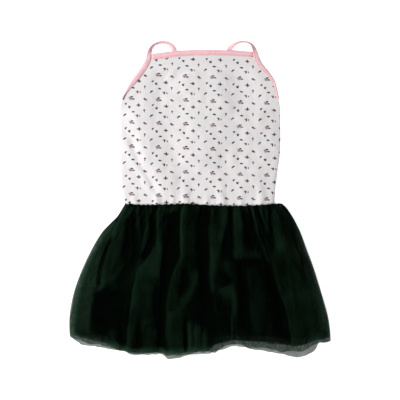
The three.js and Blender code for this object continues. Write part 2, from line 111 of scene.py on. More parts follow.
class Number:
    """A socket that carries a number. Python's operators add the Math nodes."""

    def __init__(self, finish, socket):
        self.finish = finish
        self.socket = socket

    def math(self, operation, *others):
        return self.finish.node("ShaderNodeMath", {"operation": operation}, [self, *others])

    def __add__(self, other):
        return self.math("ADD", other)

    __radd__ = __add__

    def __mul__(self, other):
        return self.math("MULTIPLY", other)

    __rmul__ = __mul__

    def __sub__(self, other):
        return self.math("SUBTRACT", other)

    def __rsub__(self, other):
        return self.finish.node("ShaderNodeMath", {"operation": "SUBTRACT"}, [other, self])

    def size(self):
        return self.math("ABSOLUTE")

    def least(self, other):
        return self.math("MINIMUM", other)

    def wave(self):
        return self.math("COSINE")

    def repeat(self, length, start=0.0):
        """The same stretch from start to start + length, over and over."""
        return self.math("WRAP", start + length, start)

    def step(self, low, high):
        """A soft step: 0 below low and 1 above high, or the other way round."""
        turned = low > high
        settings = {"interpolation_type": "SMOOTHSTEP"}
        ends = {"From Min": min(low, high), "From Max": max(low, high)}
        out = self.finish.node("ShaderNodeMapRange", settings, {"Value": self, **ends})
        return 1 - out if turned else out


print("sums by name:", [name for name in vars(Number) if "__" not in name])

# %% [markdown]
# A finish is one material. Every node in it comes from one method that takes the node's type, its
# settings and what goes into its sockets. Colours are blended by a Mix node, because a Math node would
# turn them grey.

# %% Finishes


class Finish:
    """A material and the nodes that make it up."""

    def __init__(self, name, **fixed):
        self.material = bpy.data.materials.new(name)
        self.material.use_nodes = True
        self.tree = self.material.node_tree
        self.surface = self.tree.nodes["Principled BSDF"]
        for socket, value in fixed.items():
            self.surface.inputs[socket.replace("_", " ")].default_value = value

    def put(self, socket, value):
        if isinstance(value, Number):
            value = value.socket
        if isinstance(value, bpy.types.NodeSocket):
            self.tree.links.new(value, socket)
        elif value is not None:
            socket.default_value = value

    def node(self, kind, settings=None, inputs=(), output=0):
        made = self.tree.nodes.new(kind)
        for key, value in (settings or {}).items():
            setattr(made, key, value)
        pairs = inputs.items() if isinstance(inputs, dict) else enumerate(inputs)
        for key, value in pairs:
            self.put(made.inputs[key], value)
        return Number(self, made.outputs[output])

    def cloth_place(self):
        """The place on the cut cloth, in millimetres, from the sheet's own UV map."""
        return self.node("ShaderNodeUVMap", {"uv_map": "cloth"})

    def parts(self, vector):
        split = self.node("ShaderNodeSeparateXYZ", None, [vector])
        return [Number(self, split.socket.node.outputs[i]) for i in range(3)]

    def noise(self, vector, scale, detail=2.0, roughness=0.5):
        inputs = {"Vector": vector, "Scale": scale, "Detail": detail, "Roughness": roughness}
        return self.node("ShaderNodeTexNoise", {"noise_dimensions": "2D"}, inputs)

    def blend(self, share, first, second):
        """A colour: first where share is 0 and second where it is 1."""
        made = self.tree.nodes.new("ShaderNodeMix")
        made.data_type = "RGBA"
        for key, value in (("Factor_Float", share), ("A_Color", first), ("B_Color", second)):
            self.put(next(i for i in made.inputs if i.identifier == key), value)
        return Number(self, next(o for o in made.outputs if o.identifier == "Result_Color"))

    def emboss(self, height, strength, depth_mm):
        inputs = {"Strength": strength, "Distance": depth_mm * MM, "Height": height}
        bump = self.node("ShaderNodeBump", None, inputs)
        self.put(self.surface.inputs["Normal"], bump)

    def set(self, **sockets):
        for socket, value in sockets.items():
            self.put(self.surface.inputs[socket.replace("_", " ")], value)
        print("finish", self.material.name, "with", len(self.tree.nodes), "nodes")
        return self.material


# %% [markdown]
# The table is a plain matt white sheet, wide enough to fill every view. A lamp strong enough to make it
# white would bleach the bodice, so it also glows by itself a little, as paper on a light box does.

# %% Table
table_finish = Finish("white_table", Roughness=1.0, Specular_IOR_Level=0.0)
table_finish.surface.inputs["Emission Color"].default_value = (1, 1, 1, 1)
table_finish.surface.inputs["Emission Strength"].default_value = 0.62
paper = table_finish.noise(table_finish.node("ShaderNodeTexCoord", None, (), "Object"), 30.0)
paper_white = table_finish.blend(paper, (0.97, 0.97, 0.97, 1), (0.99, 0.99, 0.99, 1))
white_table = table_finish.set(Base_Color=paper_white)

TABLE_SIDE = 9.0
bpy.ops.mesh.primitive_plane_add(size=TABLE_SIDE, location=(0, 0, -0.0004))
table = bpy.context.object
table.name = "table_top"
table.data.materials.append(white_table)
print("table side, m", TABLE_SIDE)

# %% [markdown]
# The outline of each piece is a short table of widths and heights in millimetres, read off the picture.
# A smooth curve runs through its rows, so that a sheet can ask for its edge at any height.

# %% Curves through short tables


def soft(x, low, high):
    """A soft step from 0 at low to 1 at high."""
    t = np.clip((np.asarray(x, float) - low) / (high - low), 0, 1)
    return t * t * (3 - 2 * t)


def mix(a, b, share):
    return a + (b - a) * share


def curve(table, along, value):
    """A smooth curve through a table's rows: value as a function of along."""
    at = np.array(table[along], float)
    order = np.argsort(at)
    at = at[order]
    height = np.array(table[value], float)[order]
    before = np.r_[at[0], at[:-1]]
    after = np.r_[at[1:], at[-1]]
    slope = (np.r_[height[1:], height[-1]] - np.r_[height[0], height[:-1]]) / (after - before)

    def read(x):
        x = np.clip(np.asarray(x, float), at[0], at[-1])
        i = np.clip(np.searchsorted(at, x) - 1, 0, len(at) - 2)
        step = at[i + 1] - at[i]
        t = (x - at[i]) / step
        rise = height[i] * (2 * t**3 - 3 * t**2 + 1) + height[i + 1] * (3 * t**2 - 2 * t**3)
        return rise + step * (slope[i] * (t**3 - 2 * t**2 + t) + slope[i + 1] * (t**3 - t**2))

    return read


WAIST_LEVEL = -8
BODICE_SIDES = {
    "y": [-12, 10, 40, 75, 110, 138, 151, 163, 178, 192, 204, 213, 225],
    "left": [-114, -117, -119, -119.5, -119.5, -119, -117, -111, -102.5, -92, -84, -80.5, -79.5],
    "right": [113, 113.5, 117.2, 121.3, 121.3, 120.5, 119.3, 117, 113, 103.5, 94, 89, 87],
}
NECK_LEFT = -80
NECK_RIGHT = 87
NECKLINE = {"x": [-80, -35, 5, 50, 87], "y": [216.5, 222.5, 224, 223.3, 220.5]}
WAIST = {
    "x": [-115, -85, -50, -20, 12, 60, 92, 122],
    "y": [-7, -9, -8.2, -7.2, -9.4, -10.3, -9, -6.5],
}
SKIRT_SIDES = {
    "y": [-5, -12, -26, -36, -50, -75, -105, -140, -175, -205, -245],
    "left": [-110, -115, -123.8, -133.8, -147.2, -162.4, -176.8, -189.4, -196, -196, -192],
    "right": [121, 130, 139.8, 145.4, 152.2, 161.6, 172.6, 183.4, 193.4, 197.4, 197.6],
}
bodice_left = curve(BODICE_SIDES, "y", "left")
bodice_right = curve(BODICE_SIDES, "y", "right")
neckline = curve(NECKLINE, "x", "y")
waist_line = curve(WAIST, "x", "y")
skirt_left = curve(SKIRT_SIDES, "y", "left")
skirt_right = curve(SKIRT_SIDES, "y", "right")
waist_width = bodice_right(WAIST_LEVEL) - bodice_left(WAIST_LEVEL)
print("bodice width at the waist, mm", round(float(waist_width), 1))

# %% [markdown]
# Cloth is never even. All unevenness comes from two kinds of smooth noise worked out from whole numbers,
# so that the dress is the same each time the script runs.

# %% Smooth noise


def scatter(whole, seed=0):
    """A number from -1 to 1 for each whole number, always the same. Any uneven factors would do."""
    mixed = np.sin(np.asarray(whole, float) * 12.9898 + seed * 78.233 + 4.1) * 43758.5453
    return 2 * (mixed - np.floor(mixed)) - 1


def waver(x, seed=0):
    """Smooth noise along a line, with a new value at each whole x."""
    x = np.asarray(x, float)
    start = np.floor(x)
    t = x - start
    t = t * t * (3 - 2 * t)
    return mix(scatter(start, seed), scatter(start + 1, seed), t)


ROW_SHIFT = 37.7


def ripple(x, y, seed=0):
    """Smooth noise over a plane."""
    x, y = np.broadcast_arrays(np.asarray(x, float), np.asarray(y, float))
    row = np.floor(y)
    t = y - row
    t = t * t * (3 - 2 * t)
    return mix(waver(x + ROW_SHIFT * row, seed), waver(x + ROW_SHIFT * (row + 1), seed), t)


def uneven(base, x, y, sizes, seed):
    """Base with noise of several sizes on it, each given by its height, width and length in mm."""
    for number, (height, width, length) in enumerate(sizes):
        base = base + height * ripple(x / width, y / length, seed + number)
    return base


def ridge(distance, half, sharpness=1.0):
    """1 on a ridge's line and 0 from its half width outwards."""
    t = np.clip(np.abs(distance) / half, 0, 1)
    return (0.5 + 0.5 * np.cos(np.pi * t)) ** sharpness


def round_over(distance, width):
    """The quarter round by which a sheet rises from its side edge."""
    t = 1 - np.clip(np.asarray(distance, float) / width, 0, 1)
    return np.sqrt(np.clip(1 - t * t, 0, 1))


print("noise at 0.5, 1.5 and 2.5:", np.round(waver([0.5, 1.5, 2.5]), 3))

# %% [markdown]
# A sheet of cloth is a grid of points, rows running down the cloth and columns across it. Thin tulle is
# left as a bare sheet. Jersey gets a second sheet under the first and a rim round both, so that its edge
# has the thickness of real cloth. Each point also carries its place on the cut cloth for the weave.

# %% Sheets


def cloth_object(name, points, faces, places, finish):
    """A smooth mesh from points in millimetres, with each corner's place on the cut cloth."""
    mesh = bpy.data.meshes.new(name)
    mesh.from_pydata(np.asarray(points, float).reshape(-1, 3) * MM, [], faces)
    layer = mesh.uv_layers.new(name="cloth")
    corners = np.zeros(len(mesh.loops), int)
    mesh.loops.foreach_get("vertex_index", corners)
    layer.data.foreach_set("uv", np.asarray(places, float).reshape(-1, 2)[corners].ravel())
    mesh.polygons.foreach_set("use_smooth", np.ones(len(faces), bool))
    mesh.materials.append(finish)
    mesh.update()
    piece = bpy.data.objects.new(name, mesh)
    scene.collection.objects.link(piece)
    print(name, "has", len(faces), "faces")
    return piece


def grid_faces(rows, columns, first=0, turned=False):
    i = np.arange(rows - 1)[:, None] * columns + np.arange(columns - 1)[None, :] + first
    quads = np.stack([i, i + columns, i + columns + 1, i + 1], axis=-1).reshape(-1, 4)
    return quads[:, ::-1] if turned else quads


def rim_of(rows, columns):
    top = np.arange(columns)
    right = np.arange(1, rows) * columns + columns - 1
    bottom = (rows - 1) * columns + np.arange(columns - 2, -1, -1)
    left = np.arange(rows - 2, 0, -1) * columns
    return np.concatenate([top, right, bottom, left])


def together(*grids):
    """One grid of points or places from grids of numbers, which may be single rows or columns."""
    return np.stack(np.broadcast_arrays(*grids), axis=-1)


def thick_sheet(name, upper, thickness, places, finish):
    """A closed sheet: the upper points, the same points lowered, and a rim between them."""
    rows, columns, _ = upper.shape
    count = rows * columns
    lower = upper - np.array([0, 0, thickness])
    rim = rim_of(rows, columns)
    after = np.roll(rim, -1)
    sides = np.stack([rim, after, after + count, rim + count], axis=-1)
    faces = [*grid_faces(rows, columns).tolist(), *grid_faces(rows, columns, count, True).tolist()]
    faces += sides.tolist()
    both = np.concatenate([upper.reshape(-1, 3), lower.reshape(-1, 3)])
    return cloth_object(name, both, faces, np.concatenate([places.reshape(-1, 2)] * 2), finish)


dress = {}
print("a 3 by 4 grid has", len(grid_faces(3, 4)), "faces and", len(rim_of(3, 4)), "points on its rim")

# %% [markdown]
# The print is a small repeat of sprigs: a rose with leaves, a dark blossom, and single leaves and buds
# between them. Buds and petals are ellipses and each leaf lies between two arcs. Every mark is given by
# its middle, its half sizes and its turn, in millimetres and degrees. Such marks stay sharp close up.

# %% Sprig print
REPEAT = {"across": 40.7, "down": 36.0}
LEAVES = [
    # middle x and y, half length, half width, turn
    # the rose's leaves
    (1.2, -1.9, 2.6, 1.25, 12),
    (3.7, 0.9, 2.5, 1.15, -14),
    (-2.6, -0.6, 1.3, 0.6, 60),
    # a sprig of two leaves
    (20.5, 0.8, 2.3, 1.5, -20),
    (23.0, 1.8, 1.8, 0.8, -8),
    # a bluebell with its leaves
    (12.3, 9.8, 2.8, 1.35, 90),
    (10.1, 10.1, 1.8, 0.9, -12),
    (14.2, 10.4, 1.5, 0.8, 20),
    # single leaves
    (34.0, 8.2, 1.1, 0.6, 40),
    (-2.3, 13.3, 2.3, 1.6, -50),
    (-0.9, 12.0, 1.1, 0.6, 40),
    (3.3, 20.2, 2.8, 1.35, -4),
    (20.9, 19.8, 1.7, 0.7, 88),
    (31.4, 24.6, 2.6, 1.25, 26),
    (29.8, 26.3, 1.4, 0.9, 50),
    (10.1, 26.4, 2.6, 1.25, 86),
    (8.4, 25.5, 1.5, 0.75, -25),
]
BUDS = [
    (32.6, 9.4, 1.4, 1.45, 0),
    (20.8, 17.6, 1.45, 1.25, 0),
    (-0.5, 0.6, 0.75, 0.5, 30),
]
PETALS = [
    (-0.5, 2.1, 1.2, 1.0, 0),
    (-1.8, 1.4, 1.2, 0.95, 70),
    (-1.3, -0.1, 1.2, 0.9, -50),
    (0.4, -0.1, 1.2, 0.9, 50),
    (0.8, 1.4, 1.2, 0.95, -70),
    (2.2, 1.9, 0.9, 0.6, 10),
    (13.7, 26.6, 1.3, 1.6, 10),
    (12.2, 12.0, 1.9, 0.6, 0),
    (21.4, 3.0, 1.2, 0.5, 0),
]
HEARTS = [
    (-0.5, 1.0, 1.2, 0.85, 20),
    (13.8, 26.7, 0.7, 0.9, 10),
]
print("marks in the print", len(LEAVES) + len(BUDS) + len(PETALS) + len(HEARTS))

# %% [markdown]
# Jersey is knitted in fine columns, about fourteen to the centimetre, and the ink sinks into them a
# little unevenly. The finish repeats the sprigs over the cloth, lets each repeat drift by a hair, and
# adds the knit as a shallow emboss. Its ground wanders between a cooler and a warmer off-white, because
# one flat colour would look like paper.

# %% Jersey finish


def marks(finish, place, shapes, pointed=False):
    """How far out a place lies from the nearest mark's middle, as a share: below 1 it is inside.

    A round mark is an ellipse. A pointed one is a leaf between two arcs."""
    nearest = None
    for x, y, half_length, half_width, turn in shapes:
        settings = {"vector_type": "TEXTURE"}
        inputs = {
            "Vector": place,
            "Location": (x, -y, 0),
            "Rotation": (0, 0, math.radians(turn)),
            "Scale": (half_length, half_width, 1),
        }
        local = finish.node("ShaderNodeMapping", settings, inputs)
        if pointed:
            along, over, _ = finish.parts(local)
            reach = along * along + over.size()
        else:
            reach = finish.node("ShaderNodeVectorMath", {"operation": "LENGTH"}, [local], "Value")
        nearest = reach if nearest is None else nearest.least(reach)
    return nearest


TURN = 2 * math.pi
WALE_MM = 0.72
COURSE_MM = 0.6
jersey_finish = Finish("printed_jersey", Roughness=0.92, Specular_IOR_Level=0.05)
place = jersey_finish.cloth_place()
drift = jersey_finish.noise(place, 0.035, 1.0)
across, down, _ = jersey_finish.parts(place)
drifted_across = across + (drift - 0.5) * 3.0
drifted_down = down + 0.037 * across + (jersey_finish.noise(place, 0.045, 1.0) - 0.5) * 2.4
cell_across = drifted_across.repeat(REPEAT["across"], -4.2)
cell_down = drifted_down.repeat(REPEAT["down"], -(REPEAT["down"] - 4.2))
cell = jersey_finish.node("ShaderNodeCombineXYZ", None, [cell_across, cell_down, 0.0])
fuzz = (jersey_finish.noise(place, 2.4, 2.0) - 0.5) * 0.35
ink = marks(jersey_finish, cell, LEAVES, pointed=True).least(marks(jersey_finish, cell, BUDS))
ink = (ink + fuzz).step(1.1, 0.88)
pink = (marks(jersey_finish, cell, PETALS) + fuzz).step(1.12, 0.86)
deep = (marks(jersey_finish, cell, HEARTS) + fuzz).step(1.15, 0.8)
wales = (across * (TURN / WALE_MM)).wave()
courses = (down * (TURN / COURSE_MM) + wales * 1.4).wave()
mottle = jersey_finish.noise(place, 0.05, 3.0)
ground = jersey_finish.blend(mottle, (0.690, 0.668, 0.680, 1), (0.745, 0.716, 0.712, 1))
printed = jersey_finish.blend(pink * 0.85, ground, (0.45, 0.26, 0.31, 1))
printed = jersey_finish.blend(deep * 0.75, printed, (0.22, 0.07, 0.11, 1))
printed = jersey_finish.blend(ink * 0.93, printed, (0.007, 0.009, 0.009, 1))
printed = jersey_finish.blend((wales * courses).step(0.4, -1.0) * 0.07, printed, (0.40, 0.39, 0.40, 1))
jersey_finish.emboss(wales * 0.5 + courses * 0.35, 0.35, 0.12)
jersey = jersey_finish.set(Base_Color=printed)

# %% [markdown]
# The binding is a strip of finer pink rib, folded over the raw edge and stitched down. Its ribs run
# across the strip, so along it they show as faint close lines. The colour is uneven where the fold has
# been pressed. Along the row of stitches a darker pink line is painted into the groove as painted shade.

# %% Binding finish
RIB_MM = 0.9
GROOVE_MM = 2.3
binding_finish = Finish("pink_rib_binding", Roughness=0.85, Specular_IOR_Level=0.15)
binding_finish.surface.inputs["Sheen Weight"].default_value = 0.15
place = binding_finish.cloth_place()
along, over, _ = binding_finish.parts(place)
ribs = (along * (TURN / RIB_MM) + (binding_finish.noise(place, 0.4) - 0.5) * 2.0).wave()
wash = binding_finish.noise(place, 0.09, 3.0)
pinks = binding_finish.blend(wash, (0.80, 0.47, 0.505, 1), (0.87, 0.565, 0.59, 1))
pinks = binding_finish.blend(ribs.step(0.2, -1.0) * 0.16, pinks, (0.60, 0.27, 0.31, 1))
# painted shade: a darker pink line painted along the stitched groove
groove_shade = (over - GROOVE_MM).size().step(1.1, 0.3)
pinks = binding_finish.blend(groove_shade * 0.35, pinks, (0.62, 0.27, 0.33, 1))
binding_finish.emboss(ribs * 0.5 + (binding_finish.noise(place, 2.2, 3.0) - 0.5) * 0.6, 0.4, 0.15)
pink_rib = binding_finish.set(Base_Color=pinks)

# %% [markdown]
# Tulle is a net of fine threads round six-sided holes. Three waves at sixty degrees to each other add up
# to such a net: where their sum is low there is thread, and where it is high there is a hole. The holes
# aren't quite clear, because the real skirt crumples more net into each fold than one sheet can show.
# The threads are black-green with a dull shine. Their colour is painted from near black to a lighter
# green by the painted light that each sheet keeps at its points: painted highlights on crests, at the
# open hem and at the sides, and painted shade in hollows.

# %% Tulle finish
HOLE_MM = 1.15


def net(finish, place, hole_mm):
    """The sum of three waves, from -1.5 on the threads to 3 in the middle of a hole."""
    x, y, _ = finish.parts(place)
    pitch = 4 * math.pi / (math.sqrt(3) * hole_mm)
    total = (y * pitch).wave()
    for side in (-1, 1):
        total = total + (x * (side * pitch * math.sqrt(3) / 2) + y * (pitch / 2)).wave()
    return total


def tulle_finish(name, hole_cover, thread_cover):
    finish = Finish(name, Roughness=0.7, Specular_IOR_Level=0.008)
    place = finish.cloth_place()
    thread = net(finish, place, HOLE_MM).step(1.1, -0.6)
    crumple = finish.noise(place, 0.045, 4.0, 0.6)
    # the sheet's painted light, which paints highlights and shade into the net's colour
    painted_light = finish.node("ShaderNodeAttribute", {"attribute_name": "painted_light"}, (), "Fac")
    crowding = finish.node("ShaderNodeAttribute", {"attribute_name": "crowding"}, (), "Fac")
    lit = (painted_light + (crumple - 0.5) * 0.3).step(0.0, 1.6)
    shade = finish.blend(lit, (0.0003, 0.0013, 0.0006, 1), (0.0125, 0.0370, 0.0200, 1))
    finish.emboss(thread + (finish.noise(place, 0.35, 3.0) - 0.5) * 0.8, 0.35, 0.2)
    cover = thread * (thread_cover - hole_cover) + hole_cover
    cover = cover + (crumple - 0.5) * 0.16
    return finish.set(Base_Color=shade, Alpha=cover + (1 - cover) * crowding * 0.8)


outer_tulle = tulle_finish("tulle_outer", 0.40, 0.94)
inner_tulle = tulle_finish("tulle_inner", 0.46, 0.95)

# %% [markdown]
# The underskirt is a plain opaque lining, almost black, with a tight weave and a faint bloom.

# %% Underskirt finish
WEAVE_MM = 0.5
lining_finish = Finish("black_green_lining", Roughness=0.9, Specular_IOR_Level=0.01)
place = lining_finish.cloth_place()
across, down, _ = lining_finish.parts(place)
weave = (across * (TURN / WEAVE_MM)).wave() * (down * (TURN / WEAVE_MM)).wave()
bloom = lining_finish.noise(place, 0.03, 3.0)
lining_shade = lining_finish.blend(bloom, (0.0006, 0.0014, 0.0010, 1), (0.0014, 0.0030, 0.0020, 1))
lining_finish.emboss(weave, 0.3, 0.08)
lining = lining_finish.set(Base_Color=lining_shade)

# %% [markdown]
# Both the jersey and the tulle carry folds. A fold is given by the path of its crest and by how far it
# spreads to the left and right of that path, because a real fold is steep on one side and easy on the
# other. The same helper gives the height of the cloth and, for the tulle, the painted highlight: a lighter
# colour painted along a crest.

# %% Folds along a path


def lengths(points):
    """How far along a line each of its points lies."""
    return np.r_[0, np.cumsum(np.linalg.norm(np.diff(points, axis=0), axis=1))]


def unit(vectors):
    """The same directions with length 1."""
    return vectors / np.linalg.norm(vectors, axis=1)[:, None]


def beside(x, y, path, samples=8):
    """How far along a path each place lies and how far to its right, in mm, and the path's length."""
    rows = {"row": list(range(len(path))), "x": [p[0] for p in path], "y": [p[1] for p in path]}
    t = np.linspace(0, len(path) - 1, samples * (len(path) - 1) + 1)
    line = np.stack([curve(rows, "row", "x")(t), curve(rows, "row", "y")(t)], axis=1)
    ahead = unit(np.gradient(line, axis=0))
    run = lengths(line)
    far = (x[..., None] - line[:, 0]) ** 2 + (y[..., None] - line[:, 1]) ** 2
    near = far.argmin(axis=-1)
    dx, dy = x - line[near, 0], y - line[near, 1]
    along = run[near] + dx * ahead[near, 0] + dy * ahead[near, 1]
    right = ahead[near, 0] * dy - ahead[near, 1] * dx
    return along, right, run[-1]


FOLD_FADE = 13.0


def folded(x, y, folds, seed):
    """The height of the large folds and the painted highlight along their crests."""
    height = np.zeros(x.shape)
    painted_light = np.zeros(x.shape)
    for number, (path, left_half, right_half, rise, painted_light_strength) in enumerate(folds):
        along, right, length = beside(x, y, path)
        right = right + 0.9 * waver(along / 17, seed + number)
        right = right + 0.3 * ripple(along / 5, right / 6, seed + number)
        share = np.clip(along / length, 0, 1)
        halves = [mix(*np.broadcast_to(ends, 2), share) for ends in (left_half, right_half)]
        half = np.where(right < 0, *halves)
        half = half * (1 + 0.16 * waver(along / 19, seed + 50 + number))
        window = soft(along, -0.3 * FOLD_FADE, 0.7 * FOLD_FADE)
        window = window * (1 - soft(along - length, -0.9 * FOLD_FADE, 0.4 * FOLD_FADE))
        height = height + (rise * window * ridge(right, half * 1.25, 1.1)) ** 2
        # painted highlight along the crest, which lightens the net's colour
        painted_light_profile = 0.75 * ridge(right, half * 1.25, 0.35) + 0.25 * ridge(right, half * 2.2, 0.8)
        painted_light_profile = painted_light_profile * (0.95 + 0.22 * waver(along / 15, seed + 90 + number))
        painted_light = painted_light + (painted_light_strength * window * painted_light_profile) ** 2
    return np.sqrt(height), np.sqrt(painted_light)


one_fold = [([(0, 0), (0, -50)], 5, 5, 2, 1)]
crest = folded(np.array([0.0]), np.array([-25.0]), one_fold, 3)[0]
print("height on a fold's crest, mm", np.round(crest, 2))

# %% [markdown]
# The back of the bodice lies on the table, hidden under the front. Its neckline is cut a little lower. Its
# bound edges rise by the thickness of the binding under them, and a few low folds lift it a little.

# %% Bodice back
KNIT = 1.0
SEAM = 0.3
TUCK = 1.3
BACK_NECK_DROP = 5.0
UNDERARM = 151
WAIST_SEAM = 0.5
BACK_FOLDS = [
    # the crest's path as x, y; half width left and right of it, or two if its ends differ; rise; painted
    # highlight
    ([(-84, 186), (-78, 140), (-66, 92), (-60, 40)], (14, 10), (20, 14), 0.7, 0),
    ([(-30, 196), (-18, 150), (-14, 110)], (10, 8), (14, 12), 0.5, 0),
    ([(22, 120), (30, 80), (26, 30)], (12, 10), 9, 0.6, 0),
    ([(80, 190), (72, 150), (78, 96), (84, 50)], (16, 12), (12, 9), 0.7, 0),
    ([(-20, 60), (4, 50), (30, 54)], (6, 5), (7, 6), 0.4, 0),
]


def bodice_place(rows, columns, neck_drop):
    """Places on a bodice panel, neck first, that stop inside the fold of the binding."""
    u = np.linspace(0, 1, columns)[None, :]
    v = 1 - np.linspace(0, 1, rows)[:, None]
    across = mix(bodice_left(WAIST_LEVEL), bodice_right(WAIST_LEVEL), u)
    bottom = waist_line(across) + WAIST_SEAM
    top = neckline(mix(NECK_LEFT, NECK_RIGHT, u)) - neck_drop - TUCK
    y = mix(bottom, top, v)
    bound = soft(y, UNDERARM - 14, UNDERARM) * TUCK
    return mix(bodice_left(y) + bound, bodice_right(y) - bound, u), y


def from_side(x, y):
    return np.minimum(x - bodice_left(y), bodice_right(y) - x)


def bound_lift(x, y, neck_drop):
    """How far a place is raised to its height in the bindings."""
    neck = 1 - soft(neckline(x) - neck_drop - y, 18, 40)
    side = 1 - soft(from_side(x, y), 18, 40)
    return np.maximum(neck, side * soft(y, UNDERARM - 27, UNDERARM - 7))


def back_height(x, y):
    """The upper face of the bodice's back."""
    inner = soft(from_side(x, y), 8, 24) * soft(y - waist_line(x), 6, 24)
    lift = bound_lift(x, y, BACK_NECK_DROP)
    return KNIT + 1.3 * lift + (1 - lift) * inner * folded(x, y, BACK_FOLDS, 330)[0]


x, y = bodice_place(110, 110, BACK_NECK_DROP)
points = together(x, y, back_height(x, y))
dress["bodice_back"] = thick_sheet("bodice_back_jersey", points, KNIT, together(x, y), jersey)

# %% [markdown]
# The front lies on the back, a soft round at each side seam. Light from the left shows a few long low
# folds in it: one runs up from the waist on the left, one stands in the middle, and the armholes pull a
# slanting one each. Close above the waist the gathers of the skirt draw the jersey into short puckers.

# %% Bodice front
FRONT_AT_SIDE = KNIT + SEAM
FRONT_BODY = 2.0
BODICE_CROWN = 0.7
ROSE = {"x": 19.0, "y": 183.0}
FRONT_AT_BINDING = 5.2
FRONT_AT_WAIST = 4.6
SIDE_ROUND = (7, 11)
BODICE_FOLDS = [
    # the crest's path as x, y; half width left and right of it, or two if its ends differ; rise; painted
    # highlight
    ([(-103, 190), (-100, 148), (-94, 116), (-85, 82), (-73, 52), (-58, 22), (-44, -8)],
     (19.5, 13.5), (51, 30), 2.9, 0),
    ([(-112, 93), (-101, 62), (-85, 34), (-70, 8), (-61, -8)], (12, 7.5), (9, 7.5), 1.5, 0),
    ([(-25, 188), (-8, 164), (1, 136), (4, 104), (1, 76), (-4, 46)], (48, 39), (51, 42), 2.5, 0),
    ([(23, 226), (26, 196), (28, 160), (43, 126)], (36, 30), (33, 19.5), 2.2, 0),
    ([(79, 206), (91, 166), (97, 122)], (24, 21), (21, 18), 1.1, 0),
    ([(-98, 182), (-86, 166), (-76, 156)], 6, 5.2, 0.7, 0),
    ([(-31, 212), (-40, 192), (-50, 176)], 7.5, 7.5, 0.8, 0),
    ([(-2, 214), (-10, 196), (-19, 180)], 6, 6, 0.6, 0),
    ([(70, 212), (86, 196), (100, 178)], 9, 7.5, 1, 0),
    ([(34, 100), (47, 74), (47, 40)], 15, 13.5, 0.6, 0),
    ([(73, 106), (67, 76), (71, 46)], 10.5, 12, 0.6, 0),
    ([(94, 74), (85, 46), (94, 14)], 12, 12, 0.7, 0),
]
DENTS = [
    # height, width and length of the noise
    (0.5, 31, 38),
    (0.42, 12, 15),
    (0.16, 6, 7),
]
PUCKERS = [
    # x, half width, rise, reach up from the seam
    (-98, 7, 1.2, 14),
    (-64, 9, 1.8, 20),
    (-40, 6, 1.0, 14),
    (-21, 11, 2.2, 26),
    (10, 7, 1.1, 14),
    (33, 10, 2.0, 24),
    (62, 8, 1.2, 16),
    (92, 10, 2.2, 24),
]


def front_height(x, y):
    """The underside of the bodice's front."""
    side = from_side(x, y)
    body = FRONT_BODY + BODICE_CROWN * round_over(side, 60)
    body = uneven(body + folded(x, y, BODICE_FOLDS, 300)[0], x, y, DENTS, 5)
    down = y - waist_line(x)
    level = mix(FRONT_AT_WAIST, body, soft(down, 0, 26))
    pucker = ridge((x / 8.2 + 0.8 * waver(x / 23, 8)) % 1 - 0.5, 0.5)
    level = level + 0.7 * (0.6 + 0.5 * waver(x / 9, 9)) * pucker * np.exp(-down / 5.0)
    for at, half, rise, reach in PUCKERS:
        fade = np.exp(-((down / reach) ** 2))
        level = level + rise * fade * ridge(x - at - 2 * waver(down / 9, at), half)
    level = level - 1.5 * np.exp(-((down / 1.6) ** 2))
    level = np.maximum(level, back_height(x, y) + SEAM)
    free = mix(FRONT_AT_SIDE, level, round_over(side, mix(*SIDE_ROUND, soft(y, 60, 140))))
    return mix(free, FRONT_AT_BINDING, bound_lift(x, y, 0))


# with both faces of the jersey this many points each way make 195,000 triangles
FRONT_POINTS = 221
x, y = bodice_place(FRONT_POINTS, FRONT_POINTS, 0)
points = together(x, y, front_height(x, y) + KNIT)
places = together(x - ROSE["x"], y - ROSE["y"])
dress["bodice_front"] = thick_sheet("bodice_front_jersey", points, KNIT, places, jersey)
print("front's highest point, mm", round(float(points[..., 2].max()), 2))

# %% [markdown]
# A binding hugs the edge from both sides. Its section is a rounded hairpin: over the jersey, round the
# raw edge, and back under it. The same section is carried along each edge from points of the panel
# itself, so the binding follows every curve. A row of stitches presses a shallow groove near its inner
# edge, and the strip swells slightly between the stitches.

# %% A binding's section
STITCH_GROOVE = -5.9
BINDING_SECTION = [
    # outwards from the finished edge, up from the jersey's underside
    (-7.5, 1.35), (-7.42, 2.0), (-7.1, 2.28), (-6.5, 2.3), (STITCH_GROOVE, 2.02), (-5.3, 2.3),
    (-4.0, 2.55), (-2.4, 2.62), (-1.2, 2.4), (-0.4, 1.85), (0.0, 1.0), (0.0, 0.1), (-0.4, -0.75),
    (-1.2, -1.2), (-3.6, -1.28), (-6.9, -1.28), (-7.4, -1.1), (-7.5, -0.35), (-4.0, -0.3),
    (-1.1, -0.3), (-1.0, 0.5), (-1.1, 1.3), (-4.0, 1.3),
]


def edge_frame(points, outward):
    """Unit directions out of the cloth along an edge's points, in the plane of the table."""
    ahead = unit(np.gradient(points[:, :2], axis=0))
    across = np.stack([ahead[:, 1], -ahead[:, 0]], axis=1)
    return across * np.sign((across * outward).sum(axis=1))[:, None]


def binding(name, points, outward, wide, seed):
    """A binding round the finished edge at these points, whose height is the jersey's underside.

    Wide is the share of its full width that its upper side keeps at each point."""
    out = edge_frame(points, np.asarray(outward, float))
    run = lengths(points)[:, None]
    across, up = np.array(BINDING_SECTION).T[:, None, :]
    above = (up > 1.33) & (across < -1.3)
    across = np.where(above, across * np.maximum(wide[:, None], 1.8 / -across.clip(max=-1.3)), across)
    across = across + 0.3 * waver(run / 9, seed) * (across < -4) + 0.12 * waver(run / 7, seed + 1)
    puff = (up > 1.9) * 0.16 * ripple(run / 3.1, across / 4, seed + 2)
    ring = np.empty((len(points), len(BINDING_SECTION), 3))
    ring[..., :2] = points[:, None, :2] + out[:, None, :] * across[..., None]
    ring[..., 2] = points[:, None, 2] + up + puff
    girth = lengths(BINDING_SECTION)
    return tube_object(name, ring, together(run, girth[None, :]), pink_rib)


